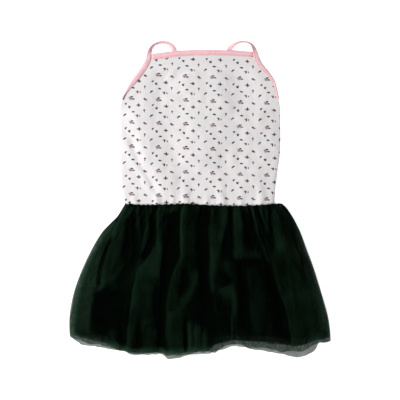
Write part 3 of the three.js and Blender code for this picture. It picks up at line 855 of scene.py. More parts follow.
def tube_faces(stations, n, first=0):
    """Faces of a tube of so many rings with n points each, and of its flat ends."""
    i = np.arange(stations - 1)[:, None] * n + first
    j = np.arange(n)[None, :]
    after = (j + 1) % n
    quads = together(i + j, i + after, i + n + after, i + n + j).reshape(-1, 4)
    ring = first + np.arange(n)
    return quads.tolist() + [ring[::-1].tolist(), (ring + (stations - 1) * n).tolist()]


def tube_object(name, ring, places, finish):
    """A closed tube through equal rings of points."""
    piece = cloth_object(name, ring, tube_faces(*ring.shape[:2]), places, finish)
    piece.data.validate()
    fix_outside(piece)
    return piece


def fix_outside(piece):
    """Turns all faces outwards where the mesh came out inside out."""
    mesh = piece.data
    mesh.calc_loop_triangles()
    corners = np.array([[mesh.vertices[k].co for k in t.vertices] for t in mesh.loop_triangles])
    volume = (corners[:, 0] * np.cross(corners[:, 1], corners[:, 2])).sum()
    if volume < 0:
        mesh.flip_normals()


girth = lengths(BINDING_SECTION)[-1]
print("round a binding's section, mm", round(float(girth), 1))

# %% [markdown]
# The edges to be bound are read from the panels, a front and a back stretch of each. At the neck the
# front one goes on under the armholes' bindings, as it is sewn first. Towards the underarm an armhole's
# edge rolls under and hides most of its binding, so there the upper side gets narrower.

# %% Bindings
NECK_FREE = (-72.6, 79.8)
NECK_TUCKED = (3.6, 4.2)


def neck_edge(neck_drop, height, tucked):
    """The neckline's edge. Where it is tucked, both ends dip and go on under the armholes' bindings."""
    left = NECK_FREE[0] - NECK_TUCKED[0] * tucked
    right = NECK_FREE[1] + NECK_TUCKED[1] * tucked
    x = np.linspace(left, right, 160)
    y = neckline(x) - neck_drop
    dip = tucked * 1.3 * (soft(-x, 69.5, 73.5) + soft(x, 77.5, 81.5))
    return np.stack([x, y, height(x, y - TUCK) - dip], axis=1)


def armhole_edge(side, neck_drop, height):
    read = bodice_left if side < 0 else bodice_right
    corner = float(neckline(NECK_LEFT if side < 0 else NECK_RIGHT)) - neck_drop
    y = np.linspace(UNDERARM - 1.5, corner, 84)
    x = read(y)
    return np.stack([x, y, height(x - side * TUCK, y)], axis=1)


def back_underside(x, y):
    return back_height(x, y) - KNIT


def rolled_under(points, low, high):
    """Towards the underarm the edge rolls under and hides its binding."""
    return mix(0.2, 1.0, soft(points[:, 1], low, high))


edges = {
    "neck_binding_back": (neck_edge(BACK_NECK_DROP, back_underside, 0), (0, 1)),
    "neck_binding_front": (neck_edge(0, front_height, 1), (0, 1)),
}
for side, way in (("left", -1), ("right", 1)):
    for wall, neck_drop, height in (("back", BACK_NECK_DROP, back_underside), ("front", 0, front_height)):
        edge = armhole_edge(way, neck_drop, height)
        edges[f"armhole_binding_{side}_{wall}"] = (edge, (way, 0.4))
widths = {node: np.ones(len(points)) for node, (points, outward) in edges.items()}
widths["neck_binding_front"] = 1.12 + 0.12 * soft(-edges["neck_binding_front"][0][:, 0], 0, 70)
for side, low, high, share in (("left", 150, 182, 1.0), ("right", 168, 200, 0.92)):
    node = f"armhole_binding_{side}_front"
    widths[node] = rolled_under(edges[node][0], low, high) * share
for seed, (node, (points, outward)) in enumerate(edges.items()):
    dress[node] = binding(node + "_rib", points, outward, widths[node], 20 + 3 * seed)
print("bound edge in all, mm", round(sum(lengths(p)[-1] for p, _ in edges.values())))

# %% [markdown]
# Each armhole's binding runs on past the shoulder as a loop and comes back down behind the front
# neckline, where it is sewn to the back. A folded strip can't lie flat round such a tight bend, so it
# turns on its edge as it goes round and falls flat again at its ends. The route is a table of middle
# points with the strip's tilt out of flat. It starts inside the binding and comes out of its upper side.

# %% Shoulder loops
STRAP_STATIONS = 96
STRAP_HEIGHTS = [5.8, 6.7, 7.0, 5.6, 4.6, 4.2, 4.0, 3.2, 1.9, 1.8]
STRAP_ROUTES = {
    "left": {
        "x": [-79.2, -76.8, -75.4, -72.4, -66.5, -57.5, -48.5, -41.5, -38.2, -36.6],
        "y": [206.5, 212, 218.5, 227, 232.8, 235.6, 234.2, 229.5, 224.8, 218],
        "z": STRAP_HEIGHTS,
        "tilt": [0, 0, -12, -50, -72, -70, -62, -40, -4, 0],
    },
    "right": {
        "x": [88.9, 86.0, 83.7, 79.3, 72.5, 64, 56, 49, 45, 42.5],
        "y": [206.5, 212.5, 220.5, 230.5, 235.3, 236.6, 234.6, 230, 225.4, 218.8],
        "z": STRAP_HEIGHTS,
        "tilt": [0, 0, -12, -50, -72, -70, -60, -38, -4, 0],
    },
}
STRAP_SECTION = [
    # across the strip, through it: over the top, round the fold, and back in between the layers
    (-3.5, 0.22), (-3.42, 0.7), (-2.9, 0.95), (-2.2, 0.98), (-1.7, 0.8), (-1.2, 0.98), (0.4, 1.0),
    (2.0, 1.05), (3.0, 0.95), (3.42, 0.5), (3.5, 0.0), (3.4, -0.5), (2.9, -0.95), (0.4, -0.95),
    (-1.6, -0.9), (-2.8, -0.95), (-3.4, -0.7), (-3.5, -0.22), (-1.5, -0.14), (1.5, -0.14),
    (2.5, 0.0), (1.5, 0.14), (-1.5, 0.14),
]


def strap_rings(route, section):
    """Sections along a loop's route, each turned by the tilt that the route gives."""
    along = {"row": list(range(len(route["x"]))), **route}
    t = np.linspace(0, len(route["x"]) - 1, STRAP_STATIONS)
    middle = np.stack([curve(along, "row", key)(t) for key in "xyz"], axis=1)
    tilt = np.radians(curve(along, "row", "tilt")(t))
    ahead = np.gradient(middle, axis=0)
    ahead[:, 2] = 0
    up = np.array([0, 0, 1.0])
    across = np.cross(unit(ahead), up)
    wide = across * np.cos(tilt)[:, None] + up * np.sin(tilt)[:, None]
    deep = up * np.cos(tilt)[:, None] - across * np.sin(tilt)[:, None]
    over, through = np.array(section).T[:, None, :, None]
    rings = middle[:, None, :] + wide[:, None, :] * over + deep[:, None, :] * through
    return rings, lengths(middle)


for side, route in STRAP_ROUTES.items():
    rings, run = strap_rings(route, STRAP_SECTION)
    rings[..., 2] += 0.12 * waver(run / 5, len(side))[:, None]
    places = together(run[:, None], lengths(STRAP_SECTION)[None, :])
    dress[f"strap_{side}"] = tube_object(f"strap_{side}_rib", rings, places, pink_rib)
    print("loop", side, "is", round(float(run[-1])), "mm long")

# %% [markdown]
# The skirt is four walls of cloth and two of lining, all gathered into one seam. Every wall is laid out
# the same way: across it u goes from 0 at the left side to 1 at the right, and down it v goes from 0 at
# the waist to 1 at the hem. Each wall has its own hem, because tulle is cut raw and never hangs level.
# Only tulle lies at the sides, where the white table shows through, and there every layer of net is
# painted lighter as painted light.

# %% Laying out a skirt wall
HEM_COLUMNS = ("x", "front", "back", "inner", "under")
HEM_ROWS = [
    # x at the hem; where the front tulle, back tulle, inner tulle and lining end
    (-196, -206.5, -205, -203, -199),
    (-180, -213, -220, -209, -203.5),
    (-161, -217.5, -222, -213, -208),
    (-143, -221.5, -224.5, -219, -214.5),
    (-134, -223.5, -225.5, -223, -221),
    (-119, -227, -228, -227, -225),
    (-104, -234, -232.5, -232, -230),
    (-67, -232.5, -230.5, -230.5, -229),
    (-58, -232, -233, -231, -228.5),
    (-52, -237, -240, -232, -228.5),
    (-41, -233.5, -240, -231.5, -229),
    (-25, -233, -237, -231, -228.5),
    (-4, -230.5, -229, -228.5, -226),
    (10, -231.5, -229, -228, -222.5),
    (22, -230, -231.5, -217.5, -207.5),
    (31, -226.5, -224.5, -216.5, -206.5),
    (49, -220.5, -219.5, -213.5, -205),
    (76, -222, -225, -214, -205.5),
    (98, -225, -230, -214.5, -206.5),
    (121, -228.5, -234.3, -216.5, -208),
    (136, -228, -237.5, -219, -209.5),
    (151, -226.5, -238, -220, -211),
    (167, -221.5, -233, -215.5, -208),
    (178, -217.5, -217.5, -213, -205.5),
    (187, -217, -216, -211, -203),
    (196, -214, -212.5, -208, -200.5),
]
HEMS = dict(zip(HEM_COLUMNS, zip(*HEM_ROWS)))
hem_of = {wall: curve(HEMS, "x", wall) for wall in HEM_COLUMNS[1:]}
HEM_END = 196
SKIRT_LEFT = -110.5
SKIRT_RIGHT = 121.0


def painted_side_light(x, y):
    """Painted light near the sides, where the table shows through the net: how much lighter the net is
    painted, on the left more than on the right.
    """
    left = 0.85 * (1 - soft(x - skirt_left(y), 3, 15))
    right = 0.45 * (1 - soft(skirt_right(y) - x, 3, 13))
    return (left + right) * soft(-y, 20, 60)


def skirt_place(u, v, hem, inset_left=0.0, inset_right=0.0):
    """Places on a skirt wall whose sides may lie inside the skirt's outline."""
    top = waist_line(mix(SKIRT_LEFT, SKIRT_RIGHT, u))
    bottom = hem(mix(-HEM_END, HEM_END, u))
    y = mix(top, bottom, v)
    return mix(skirt_left(y) + inset_left, skirt_right(y) - inset_right, u), y


def wall_grid(rows, columns):
    """Closer rows at the waist, where the gathers are fine."""
    v = np.linspace(0, 1, rows)[:, None] ** 1.25
    u = np.linspace(0, 1, columns)[None, :]
    return u, v


print("skirt width at the hem, mm", round(float(skirt_right(-200) - skirt_left(-200))))

# %% [markdown]
# The gathers are the life of this skirt. At the seam the tulle stands in close narrow ridges, and on the
# way down these join into fewer and wider ones until only the large folds are left at the hem. A cloth
# simulation could find such folds, but not these ones, so they are laid one by one. The first table has
# the gathers along the waist. Each keeps its share of the width as the skirt fans out.

# %% Gathers along the waist
WAIST_WIDTH = SKIRT_RIGHT - SKIRT_LEFT
GATHERS = [
    # x at the waist, half width, rise, reach down
    (-106, 5, 2.2, 60),
    (-96, 4.5, 2.4, 34),
    (-87, 4, 2.6, 46),
    (-77, 4.5, 2.2, 52),
    (-68, 4, 2.0, 38),
    (-58.5, 4.5, 3.0, 80),
    (-50, 4, 1.8, 40),
    (-41, 4.5, 2.4, 56),
    (-32.5, 4, 1.8, 44),
    (-20, 7.5, 3.2, 78),
    (-6, 4.5, 1.8, 40),
    (4.5, 5, 2.2, 48),
    (15.5, 4.5, 2.4, 66),
    (25, 4, 1.8, 36),
    (37, 5.5, 2.8, 74),
    (51, 6.5, 2.8, 76),
    (63, 4.5, 2.0, 38),
    (72, 4, 2.4, 44),
    (82, 4.5, 2.4, 58),
    (92, 4, 2.0, 50),
    (101.5, 4.5, 2.2, 42),
    (112, 5, 2.6, 64),
]


def gathered(u, x, y, rows, seed):
    """The height of the gathers, each of which keeps its share of the width as the skirt fans out."""
    width = skirt_right(y) - skirt_left(y)
    down = waist_line(x) - y
    height = np.zeros(np.broadcast(u, x).shape)
    for number, (at, half, rise, reach) in enumerate(rows):
        share = (at - SKIRT_LEFT) / WAIST_WIDTH + 0.004 * waver(down / 24, seed + number)
        fade = 1 - soft(down, 0.35 * reach, 1.15 * reach)
        off = (u - share) * width
        height = height + rise * fade * ridge(off, half * width / WAIST_WIDTH, 1.3)
    return height * mix(0.6, 1, soft(down, 0, 9))


print("gathers", len(GATHERS))

# %% [markdown]
# Next come the large folds. Each has the path of its crest from the waist down, how far it spreads to
# both sides, how high it rises and how much painted highlight the net gets along it. Some run slanting
# or across, where the tulle was pushed together as the skirt was laid down.

# %% Large folds
FOLDS = [
    # the crest's path as x, y; half width left and right of it, or two if its ends differ; rise; painted
    # highlight
    ([(-109, -6), (-118, -26), (-125, -44), (-131, -62), (-137, -80), (-143, -98), (-146, -114),
      (-148, -128)],
     3, (10.5, 12), 4, 0.5),
    ([(-109, -20), (-116, -46), (-122, -70), (-128, -94), (-130, -112)], (7.5, 6), (12, 15), 2, 0.15),
    ([(-155, -136), (-148, -134), (-142, -128), (-140, -117)], 3.3, 5.1, 2.2, 0.46),
    ([(-140, -122), (-130, -118), (-121, -111), (-113, -96)], 4.5, (4.5, 6), 1.8, 0.16),
    ([(-121, -33), (-136, -64), (-147, -86), (-154, -110), (-160, -136), (-163, -164), (-165, -200)],
     (7.5, 22.5), (5.4, 4.8), 3.2, 0.4),
    ([(-179, -134), (-182, -170), (-181, -202)], 6, 7.5, 1.2, 0.3),
    ([(-92, -9), (-93, -22), (-91, -50)], (3.8, 4.5), (7.5, 6.8), 2.4, 0.18),
    ([(-79, -8), (-78, -26), (-78, -45), (-82, -62), (-86, -80), (-92, -102)], 3, (7.5, 6.8), 2.2, 0.18),
    ([(-71, -8), (-71, -16), (-72, -30)], 3, (3.6, 3), 2, 0.24),
    ([(-56, -6), (-59, -22), (-62, -44), (-62, -62), (-62, -76)], (3, 5.1), (7.5, 8.2), 4, 0.32),
    ([(-58, -64), (-58, -82), (-60, -100), (-65, -122)], (10.5, 18), (3.8, 5.1), 2.6, 0.38),
    ([(-59, -87), (-71, -100), (-83, -109), (-91, -122)], (13.5, 12), 12, 2, 0.34),
    ([(-65, -75), (-76, -90), (-87, -102), (-93, -112), (-94, -124), (-98, -140), (-101, -158),
      (-104, -178), (-106, -202), (-109, -230)],
     (2.5, 2.7), (13.5, 12), 3.2, 0.18),
    ([(-80, -165), (-76, -156), (-74, -148)], 3.8, 3.8, 1, 0.06),
    ([(-85, -192), (-79, -184), (-70, -180)], (3.8, 4.5), (3.8, 4.5), 1.3, 0.17),
    ([(-71, -190), (-71, -208), (-71, -230)], (7.5, 9), (10.5, 12), 1.6, 0.24),
    ([(-134, -190), (-131, -206), (-128, -224)], (15, 18), (9, 12), 1.2, 0.04),
    ([(-43, -24), (-39, -14), (-29, -9)], (5.1, 4.5), 3.3, 2.2, 0.34),
    ([(-50, -12), (-48, -34), (-47, -62)], 4.5, (5.1, 4.5), 2, 0.27),
    ([(-22, -6), (-26, -26), (-26, -46), (-26, -68), (-25, -86)], (3.3, 3.8), (14.2, 8.2), 4.8, 0.42),
    ([(-23, -82), (-31, -96), (-38, -111), (-42, -124), (-45, -138), (-48, -153), (-50, -170)],
     3, (9, 15), 4, 0.22),
    ([(-20, -94), (-23, -106)], 9, 9, 1, 0.1),
    ([(-4, -105), (-5, -118), (-10, -134), (-16, -147), (-22, -158), (-31, -166), (-40, -170)],
     (9, 10.5), 5.4, 2.6, 0.23),
    ([(-43, -164), (-43, -189), (-41, -214), (-41, -238)], (7.2, 7.5), (18, 15), 2.8, 0.33),
    ([(-16, -182), (-14, -204), (-14, -232)], (2.7, 3), (9, 7.5), 2.2, 0.38),
    ([(-5, -184), (-5, -208), (-4, -232)], (3.6, 4.5), 9, 2, 0.46),
    ([(6, -194), (8, -212), (11, -230)], 3.9, 5.1, 1.6, 0.4),
    ([(-7, -51), (-7, -70), (-7, -88)], 3.8, 5.1, 0.8, 0.06),
    ([(-2, -8), (-2, -20), (-1, -34)], 3.8, 4.5, 2.2, 0.28),
    ([(20, -34), (20, -56), (19, -76), (20, -100), (20, -122), (21, -141)],
     (6, 6.6), (19.5, 6), 4.2, 0.36),
    ([(22, -9), (21, -21), (20, -40)], (4.5, 5.1), (13.5, 16.5), 2.6, 0.22),
    ([(34, -6), (37, -22), (36, -44), (31, -66)], 9, (6.9, 6.3), 2.8, 0.32),
    ([(32, -10), (35, -22), (34, -34)], 3, 3, 1.4, 0.24),
    ([(55, -6), (55, -32), (56, -56), (58, -76), (59, -92)], (4.5, 7.5), (9.8, 18), 3.8, 0.33),
    ([(79, -6), (82, -24), (88, -44), (94, -63), (100, -82)], 3.3, (5.4, 6), 2.4, 0.28),
    ([(91, -6), (95, -24), (101, -40), (106, -52)], 3, (6.3, 5.4), 2.4, 0.32),
    ([(68, -10), (74, -26), (79, -38)], 2.4, 2.4, 1.8, 0.14),
    ([(88, -60), (86, -72), (83, -86)], (2.7, 3), (2.7, 3), 1.4, 0.28),
    ([(46, -81), (68, -84), (86, -86), (100, -86)], 2.1, (9, 7.5), 2.6, 0.24),
    ([(44, -93), (46, -106), (50, -120)], (10.5, 4.5), (9, 7.5), 1.8, 0.2),
    ([(28, -138), (38, -134), (50, -128)], (10.5, 22.5), 2.4, 2.2, 0.42),
    ([(50, -124), (53, -146), (53, -170), (52, -190), (56, -218)], (5.4, 6), (3.9, 6), 1.8, 0.18),
    ([(94, -98), (92, -136), (89, -170), (86, -214)], 10.5, (13.5, 18), 1.2, 0),
    ([(100, -9), (101, -22), (103, -38)], 3, 6, 1.8, 0.28),
    ([(116, -6), (116, -32), (119, -56), (125, -82)], (6, 10.5), (10.5, 15), 3.2, 0.26),
    ([(98, -80), (106, -98), (112, -116), (119, -134), (127, -153), (133, -174), (137, -195),
      (140, -220)],
     (2.7, 3), (45, 63), 3.6, 0.18),
    ([(140, -74), (149, -110), (157, -146), (163, -196)], 13.5, (13.5, 15), 1, 0.2),
    ([(-76, -88), (-79, -110), (-80, -140)], (10.5, 9), (13.5, 10.5), 1.4, 0.27),
    ([(129, -20), (140, -44), (148, -68), (157, -94)], (3, 4.5), (5.4, 6), 1.8, 0.22),
    ([(125, -3), (142, -30), (155, -62), (169, -98), (178, -128), (185, -159), (191, -202)],
     (3.8, 9), (7.5, 9), 2.4, 0.5),
]
print("large folds", len(FOLDS))

# %% [markdown]
# Between the crests lie hollows. There the net is deep in shade and looks almost black, so each hollow
# takes away height and paints shade into the net's colour, as a fold adds height and painted highlight.

# %% Hollows between folds
TROUGHS = [
    # the same columns, with the depth and the painted shade
    ([(-127, -56), (-138, -76), (-145, -98), (-150, -126)], (3.8, 3), (4.5, 3.3), 3, 0.9),
    ([(-133, -136), (-133, -166), (-131, -196)], (25.5, 27), (27, 25.5), 2.6, 0.5),
    ([(-105, -26), (-106, -44), (-107, -62), (-113, -87)], (5.1, 6), (5.1, 6), 2, 0.5),
    ([(-99, -20), (-98, -50), (-95, -76), (-100, -94)], 4.5, 4.5, 2, 0.5),
    ([(-71, -20), (-70, -40), (-71, -58), (-79, -76), (-89, -94)], (4.5, 6), 6, 3, 0.8),
    ([(-87, -22), (-86, -38), (-85, -62)], (2.4, 3), (2.4, 3), 1.6, 0.2),
    ([(-46, -20), (-46, -62), (-50, -104), (-56, -148), (-58, -189), (-58, -230)],
     (7.5, 4.5), (13.5, 4.5), 3.4, 0.8),
    ([(-34, -26), (-35, -69), (-43, -98)], 6, (6, 4.5), 2.6, 0.7),
    ([(4, -14), (5, -62), (7, -106), (8, -152), (10, -189)], (9, 10.5), (7.5, 10.5), 4, 0.85),
    ([(45, -9), (44, -34), (40, -58), (35, -87)], (2.7, 3.6), (4.5, 6), 3, 0.9),
    ([(70, -20), (75, -46), (79, -72)], (6, 7.5), (5.2, 7.5), 3, 0.8),
    ([(86, -12), (92, -28), (100, -45)], 2.4, 2.7, 2.2, 0.7),
    ([(88, -40), (94, -58), (98, -76)], 3, 3, 2, 0.5),
    ([(106, -10), (106, -32), (109, -51)], 2.7, 2.7, 2, 0.5),
    ([(124, -10), (135, -34), (144, -57), (151, -76), (158, -100)], (3.3, 3), 3.9, 2.6, 0.9),
    ([(62, -94), (65, -136), (65, -194)], 6, (7.5, 9), 3.2, 0.9),
    ([(106, -94), (113, -128), (122, -159), (128, -200)], (9, 13.5), (2.7, 3), 3.6, 0.9),
    ([(52, -94), (76, -94), (100, -95)], 4.8, 3, 2, 0.7),
    ([(-20, -176), (-20, -204), (-20, -232)], 2.2, 1.8, 2.2, 0.8),
    ([(2, -178), (4, -194), (5, -206)], 2.1, 2.1, 1.6, 0.5),
    ([(14, -178), (14, -188), (14, -198)], 2.2, 2.2, 1.4, 0.4),
    ([(-25, -104), (-23, -126), (-29, -148)], (4.5, 6), (9, 7.5), 1.8, 0.45),
    ([(32, -110), (40, -120), (50, -123)], 3.6, 3.6, 1.6, 0.7),
    ([(-64, -132), (-64, -154), (-62, -196)], (6, 4.5), (4.5, 3), 2.4, 0.55),
    ([(-90, -178), (-91, -200), (-89, -226)], 4.5, 4.5, 1.6, 0.45),
    ([(-117, -194), (-117, -212), (-116, -226)], 3.8, 3.8, 1.4, 0.4),
    ([(26, -14), (26, -24)], 4.5, 4.5, 1.6, 0.4),
    ([(115, -170), (116, -190), (118, -208)], 7.5, 7.5, 1.4, 0.4),
]
print("hollows", len(TROUGHS))

# %% [markdown]
# Large folds alone would look like a carved block. Tulle also keeps small sharp creases where it was
# crushed in the packet. A crease is set by its two ends, its half width and its rise. Between the large
# folds lie narrow wandering ones, and the free hem has an uneven ruffle. Handling leaves the rest: two
# sizes of unevenness in the surface, as height, width and length. Two more sizes, given the same way, are
# random patches in the net's painted light.

# %% Creases and small folds
SKIRT_CREASES = [
    # from x, y to x, y, half width, rise
    (48, -176, 50, -222, 3, 2.4),
    (-130, -206, -108, -232, 2, 1.6),
    (66, -95, 72, -190, 9, -1.0),
    (-140, -40, -165, -90, 6, 1.2),
    (-120, -130, -150, -150, 5, 1.0),
    (80, -120, 60, -150, 6, 1.0),
    (130, -90, 150, -120, 7, 1.0),
]
CRUSH = [(0.55, 13, 19), (0.28, 5.5, 9)]
PAINTED_LIGHT_PATCHES = [(0.10, 24, 36), (0.07, 7, 30)]


def low_fold(x, y, x0, y0, x1, y1, half, rise):
    """A crease that wanders a little from one end to the other and fades at both."""
    along = np.array([x1 - x0, y1 - y0], float)
    length = np.hypot(*along)
    t = ((x - x0) * along[0] + (y - y0) * along[1]) / length**2
    off = ((x - x0) * along[1] - (y - y0) * along[0]) / length
    ends = soft(t, -0.3, 0.25) * (1 - soft(t, 0.85, 1.3))
    return rise * ends * ridge(off + 2.5 * waver(t * 2.3, x0), half)


def small_folds(u, v, seed):
    """Narrow wandering folds between the large ones."""
    wander = u * 21 + 1.3 * waver(v * 2.1 + 7 * u, seed) + 0.5 * ripple(u * 9, v * 5, seed + 1)
    crest = 1 - np.abs(waver(wander, seed + 2))
    second = 1 - np.abs(waver(u * 43 + 1.1 * waver(v * 4.0, seed + 3), seed + 4))
    patch = 0.55 + 0.45 * ripple(u * 6, v * 3, seed + 5)
    return soft(v, 0.05, 0.4) * (1.3 * patch * crest**1.6 + 0.7 * second**2 * (1 - patch))


def hem_ruffle(u, v, waves, seed):
    """So many uneven waves that rise towards the hem."""
    turn = TURN * (waves * u + 0.45 * waver(u * 8, seed))
    return soft(v, 0.62, 1.0) * 2.4 * (0.5 + 0.5 * np.sin(turn)) * (0.75 + 0.4 * waver(u * 11, seed + 1))


print("creases", len(SKIRT_CREASES))

# %% [markdown]
# Where a net is bunched or turned away it is darker against a white table and lighter against a black
# lining, since more threads meet the eye. Each sheet of tulle therefore keeps two values at every point:
# how crowded its threads are, and its painted light: painted highlights on crests that stand out or rise
# towards the lamp on the left, at the hem and at the sides, and painted shade in hollows.

# %% Threads crowded in a fold, and painted light


def smooth_rows(values, width):
    """A running mean across a sheet."""
    padded = np.pad(values, ((0, 0), (width, width)), mode="edge")
    total = np.cumsum(np.pad(padded, ((0, 0), (1, 0))), axis=1)
    return (total[:, 2 * width + 1 :] - total[:, : -2 * width - 1]) / (2 * width + 1)


def keep(piece, name, values):
    """Stores a value at every point of a sheet, for its finish to read."""
    layer = piece.data.attributes.new(name, "FLOAT", "POINT")
    layer.data.foreach_set("value", values.ravel().astype(np.float32))


def tulle_sheet(name, points, cut, finish, painted_light=0.0):
    """A bare sheet of net from its points and the width and length of its cut, in mm."""
    rows, columns, _ = points.shape
    u = np.linspace(0, cut[0], columns)[None, :]
    v = lengths(points[:, columns // 2])[:, None]
    places = together(u, -v)
    sheet = cloth_object(name, points, grid_faces(rows, columns).tolist(), places, finish)
    across = np.gradient(points, axis=1)
    down = np.gradient(points, axis=0)
    normal = np.cross(across, down)
    size = np.linalg.norm(normal, axis=-1)
    flatness = np.abs(normal[..., 2]) / size
    from_edge = np.minimum(u, cut[0] - u)
    crowding = np.clip(1 / np.maximum(flatness, 0.25) - 1, 0, 3) / 3 * soft(from_edge, 0, 18)
    fine = points[..., 2] - smooth_rows(points[..., 2], 7)
    wide = points[..., 2] - smooth_rows(points[..., 2], 26)
    rising = across[..., 2] / np.maximum(np.abs(across[..., 0]), 0.2)
    # painted highlight: a crest is painted lighter by how far it stands out close by and far around, and
    # where it rises to the right, towards the lamp on the left
    crest = np.clip(0.08 * fine, -0.1, 0.1) + 0.02 * wide + 0.05 * np.clip(rising, -1, 1)
    keep(sheet, "crowding", crowding)
    keep(sheet, "painted_light", np.clip(0.2 + painted_light + crest, 0, 1.6))
    area = surface_area(points)
    print(name, "surface, m2", round(area, 4), "cut, m2", round(cut[0] * cut[1] / 1e6, 4))
    return sheet


def surface_area(points):
    """The area of a sheet's surface in square metres, from points in mm."""
    a = points[1:, 1:] - points[:-1, :-1]
    b = points[1:, :-1] - points[:-1, 1:]
    return float(0.5 * np.linalg.norm(np.cross(a, b), axis=-1).sum() * MM * MM)


square = np.array([[[0, 0, 0], [10, 0, 0]], [[0, 10, 0], [10, 10, 0]]], float)
print("a 10 mm square is", surface_area(square), "m2")

# %% [markdown]
# The lining lies between the two walls of tulle: two plain walls, a little narrower than the skirt, with
# slight waves of their own. It is what makes the skirt opaque, and where it stops short of the hem and
# of the sides, the table shows through the net.

# %% Underskirt
UNDER_BACK = 2.5
UNDER_FRONT = 3.8
UNDER_CROWN = 2.4
UNDERSKIRT = 1.0
LINING_CUT = (400.0, 225.0)
UNDER_INSET = {
    "v": [0, 0.12, 0.3, 0.55, 0.8, 1],
    "left": [6, 12, 24, 33, 32, 28],
    "right": [8, 13, 15, 16, 16, 15],
}
inset_left = curve(UNDER_INSET, "v", "left")
inset_right = curve(UNDER_INSET, "v", "right")


def under_height(u, v, level, crown, seed):
    """The underside of a lining wall, slightly wavy and crowned between its sides."""
    ruffle = 0.5 + 0.5 * np.sin(TURN * (11 * u + 0.4 * waver(u * 6, seed)))
    wave = 0.6 * ruffle * soft(v, 0, 0.45)
    return level + wave + crown * round_over(np.minimum(u, 1 - u), 0.2) * soft(v, 0, 0.45)


for node, level, crown, lift, seed in (
    ("underskirt_back", UNDER_BACK, 0.0, 0.0, 51),
    ("underskirt_front", UNDER_FRONT, UNDER_CROWN, 1.5, 52),
):
    u, v = wall_grid(90, 150)
    x, y = skirt_place(u, v, hem_of["under"], inset_left(v), inset_right(v))
    y = y + lift * v + 1.2 * v**6 * waver(u * 17, seed)
    z = under_height(u, v, level, crown, 50)
    places = together(u * LINING_CUT[0], -v * LINING_CUT[1])
    points = together(x, y, z + UNDERSKIRT)
    dress[node] = thick_sheet(node + "_lining", points, UNDERSKIRT, places, lining)

# %% [markdown]
# The back of the skirt lies under everything else, pressed flat. Its gathers can't stand up there, so
# they fall over sideways, each fold lying on the next. In section such a row is a string of flat S
# shapes: the cloth runs to the right below, turns back on itself, and runs on above. Long pressed creases
# run on down to the hem.

# %% Back tulle, two layers
TULLE_CUT = (440.0, 240.0)
BACK_GATHERS = 26
FALL_MM = 4.2
BACK_CREASES = [
    # from x, y to x, y, half width, share of the layer's room
    (-138, -90, -166, -205, 6, 0.45),
    (-100, -60, -122, -215, 7, 0.5),
    (-72, -120, -78, -225, 4, 0.35),
    (-40, -80, -54, -228, 6, 0.45),
    (6, -60, 14, -190, 8, 0.5),
    (-24, -150, 26, -172, 5, 0.3),
    (58, -70, 80, -218, 7, 0.5),
    (96, -110, 104, -220, 4, 0.35),
    (122, -60, 156, -210, 6, 0.45),
]


def uneven_inset(v, inset, seed):
    """How far inside the outline an inner layer ends, on the left and on the right."""
    left = inset * (1 + 0.35 * waver(v * 9, seed)) * soft(v, 0.05, 0.4)
    right = 0.6 * inset * (1 + 0.35 * waver(v * 8, seed + 1)) * soft(v, 0.05, 0.4)
    return left, right


def fallen_gathers(u, v, count, seed):
    """Height and sideways shift of gathers that have fallen over, as shares of their full size."""
    wander = 0.5 * waver(u * count / 3, seed) + 0.25 * waver(v * 3 + 3 * u, seed + 1)
    turn = TURN * (count * u + wander)
    fade = 1 - 0.8 * soft(v, 0.15, 0.85 + 0.1 * waver(u * 9, seed))
    size = (0.75 + 0.35 * waver(u * count, seed + 2)) * fade
    return 0.5 + 0.5 * np.sin(turn) * size, -np.sin(turn + 0.35) * size


def back_layer(name, level, room, wall, inset, seed, finish):
    """One layer of the back: its folds lie between level and level + room above the table."""
    u, v = wall_grid(150, 330)
    x, y = skirt_place(u, v, hem_of[wall], *uneven_inset(v, inset, seed))
    height, shift = fallen_gathers(u, v, BACK_GATHERS, seed)
    fan = (skirt_right(y) - skirt_left(y)) / WAIST_WIDTH
    side = soft(np.minimum(u, 1 - u), 0, 0.03)
    x = x + FALL_MM * fan * shift * side
    y = y + 1.6 * v**8 * waver(u * 23, seed + 5)
    creases = sum(low_fold(x, y, *crease) for crease in BACK_CREASES)
    z = level + room * (0.08 + 0.9 * np.clip(height + creases * soft(v, 0.25, 0.5), 0, 1))
    # painted light: the open hem and the sides are painted lighter
    painted_light = 1.2 * soft(v, 0.92, 1) + painted_side_light(x, y)
    return tulle_sheet(name, together(x, y, z), TULLE_CUT, finish, painted_light)


dress["skirt_tulle_back"] = back_layer("skirt_back_tulle_outer", 0.12, 0.85, "back", 0, 61, outer_tulle)
back_inner = back_layer("skirt_back_tulle_inner", 1.15, 0.95, "inner", 6.5, 62, inner_tulle)

# %% [markdown]
# Last comes the front, the wall that is seen. Its two layers are gathered together and share their large
# folds, but each keeps its own small ones, and the upper one is cut longer. Gathers and small crests lean
# over, some to the left and some to the right, so that each has an easy side and a steep dark one.

# %% Front tulle, two layers
FRONT_SKIRT = 5.1
SKIRT_CROWN = 8.5
HEM_FALL = 5.0
SIDE_EDGE = 1.3
EDGE_ROUND = (9, 20)
LINING_GAP = 0.35
RUFFLES = 15


def lining_top(u, v):
    return under_height(u, v, UNDER_FRONT, UNDER_CROWN, 50) + UNDERSKIRT


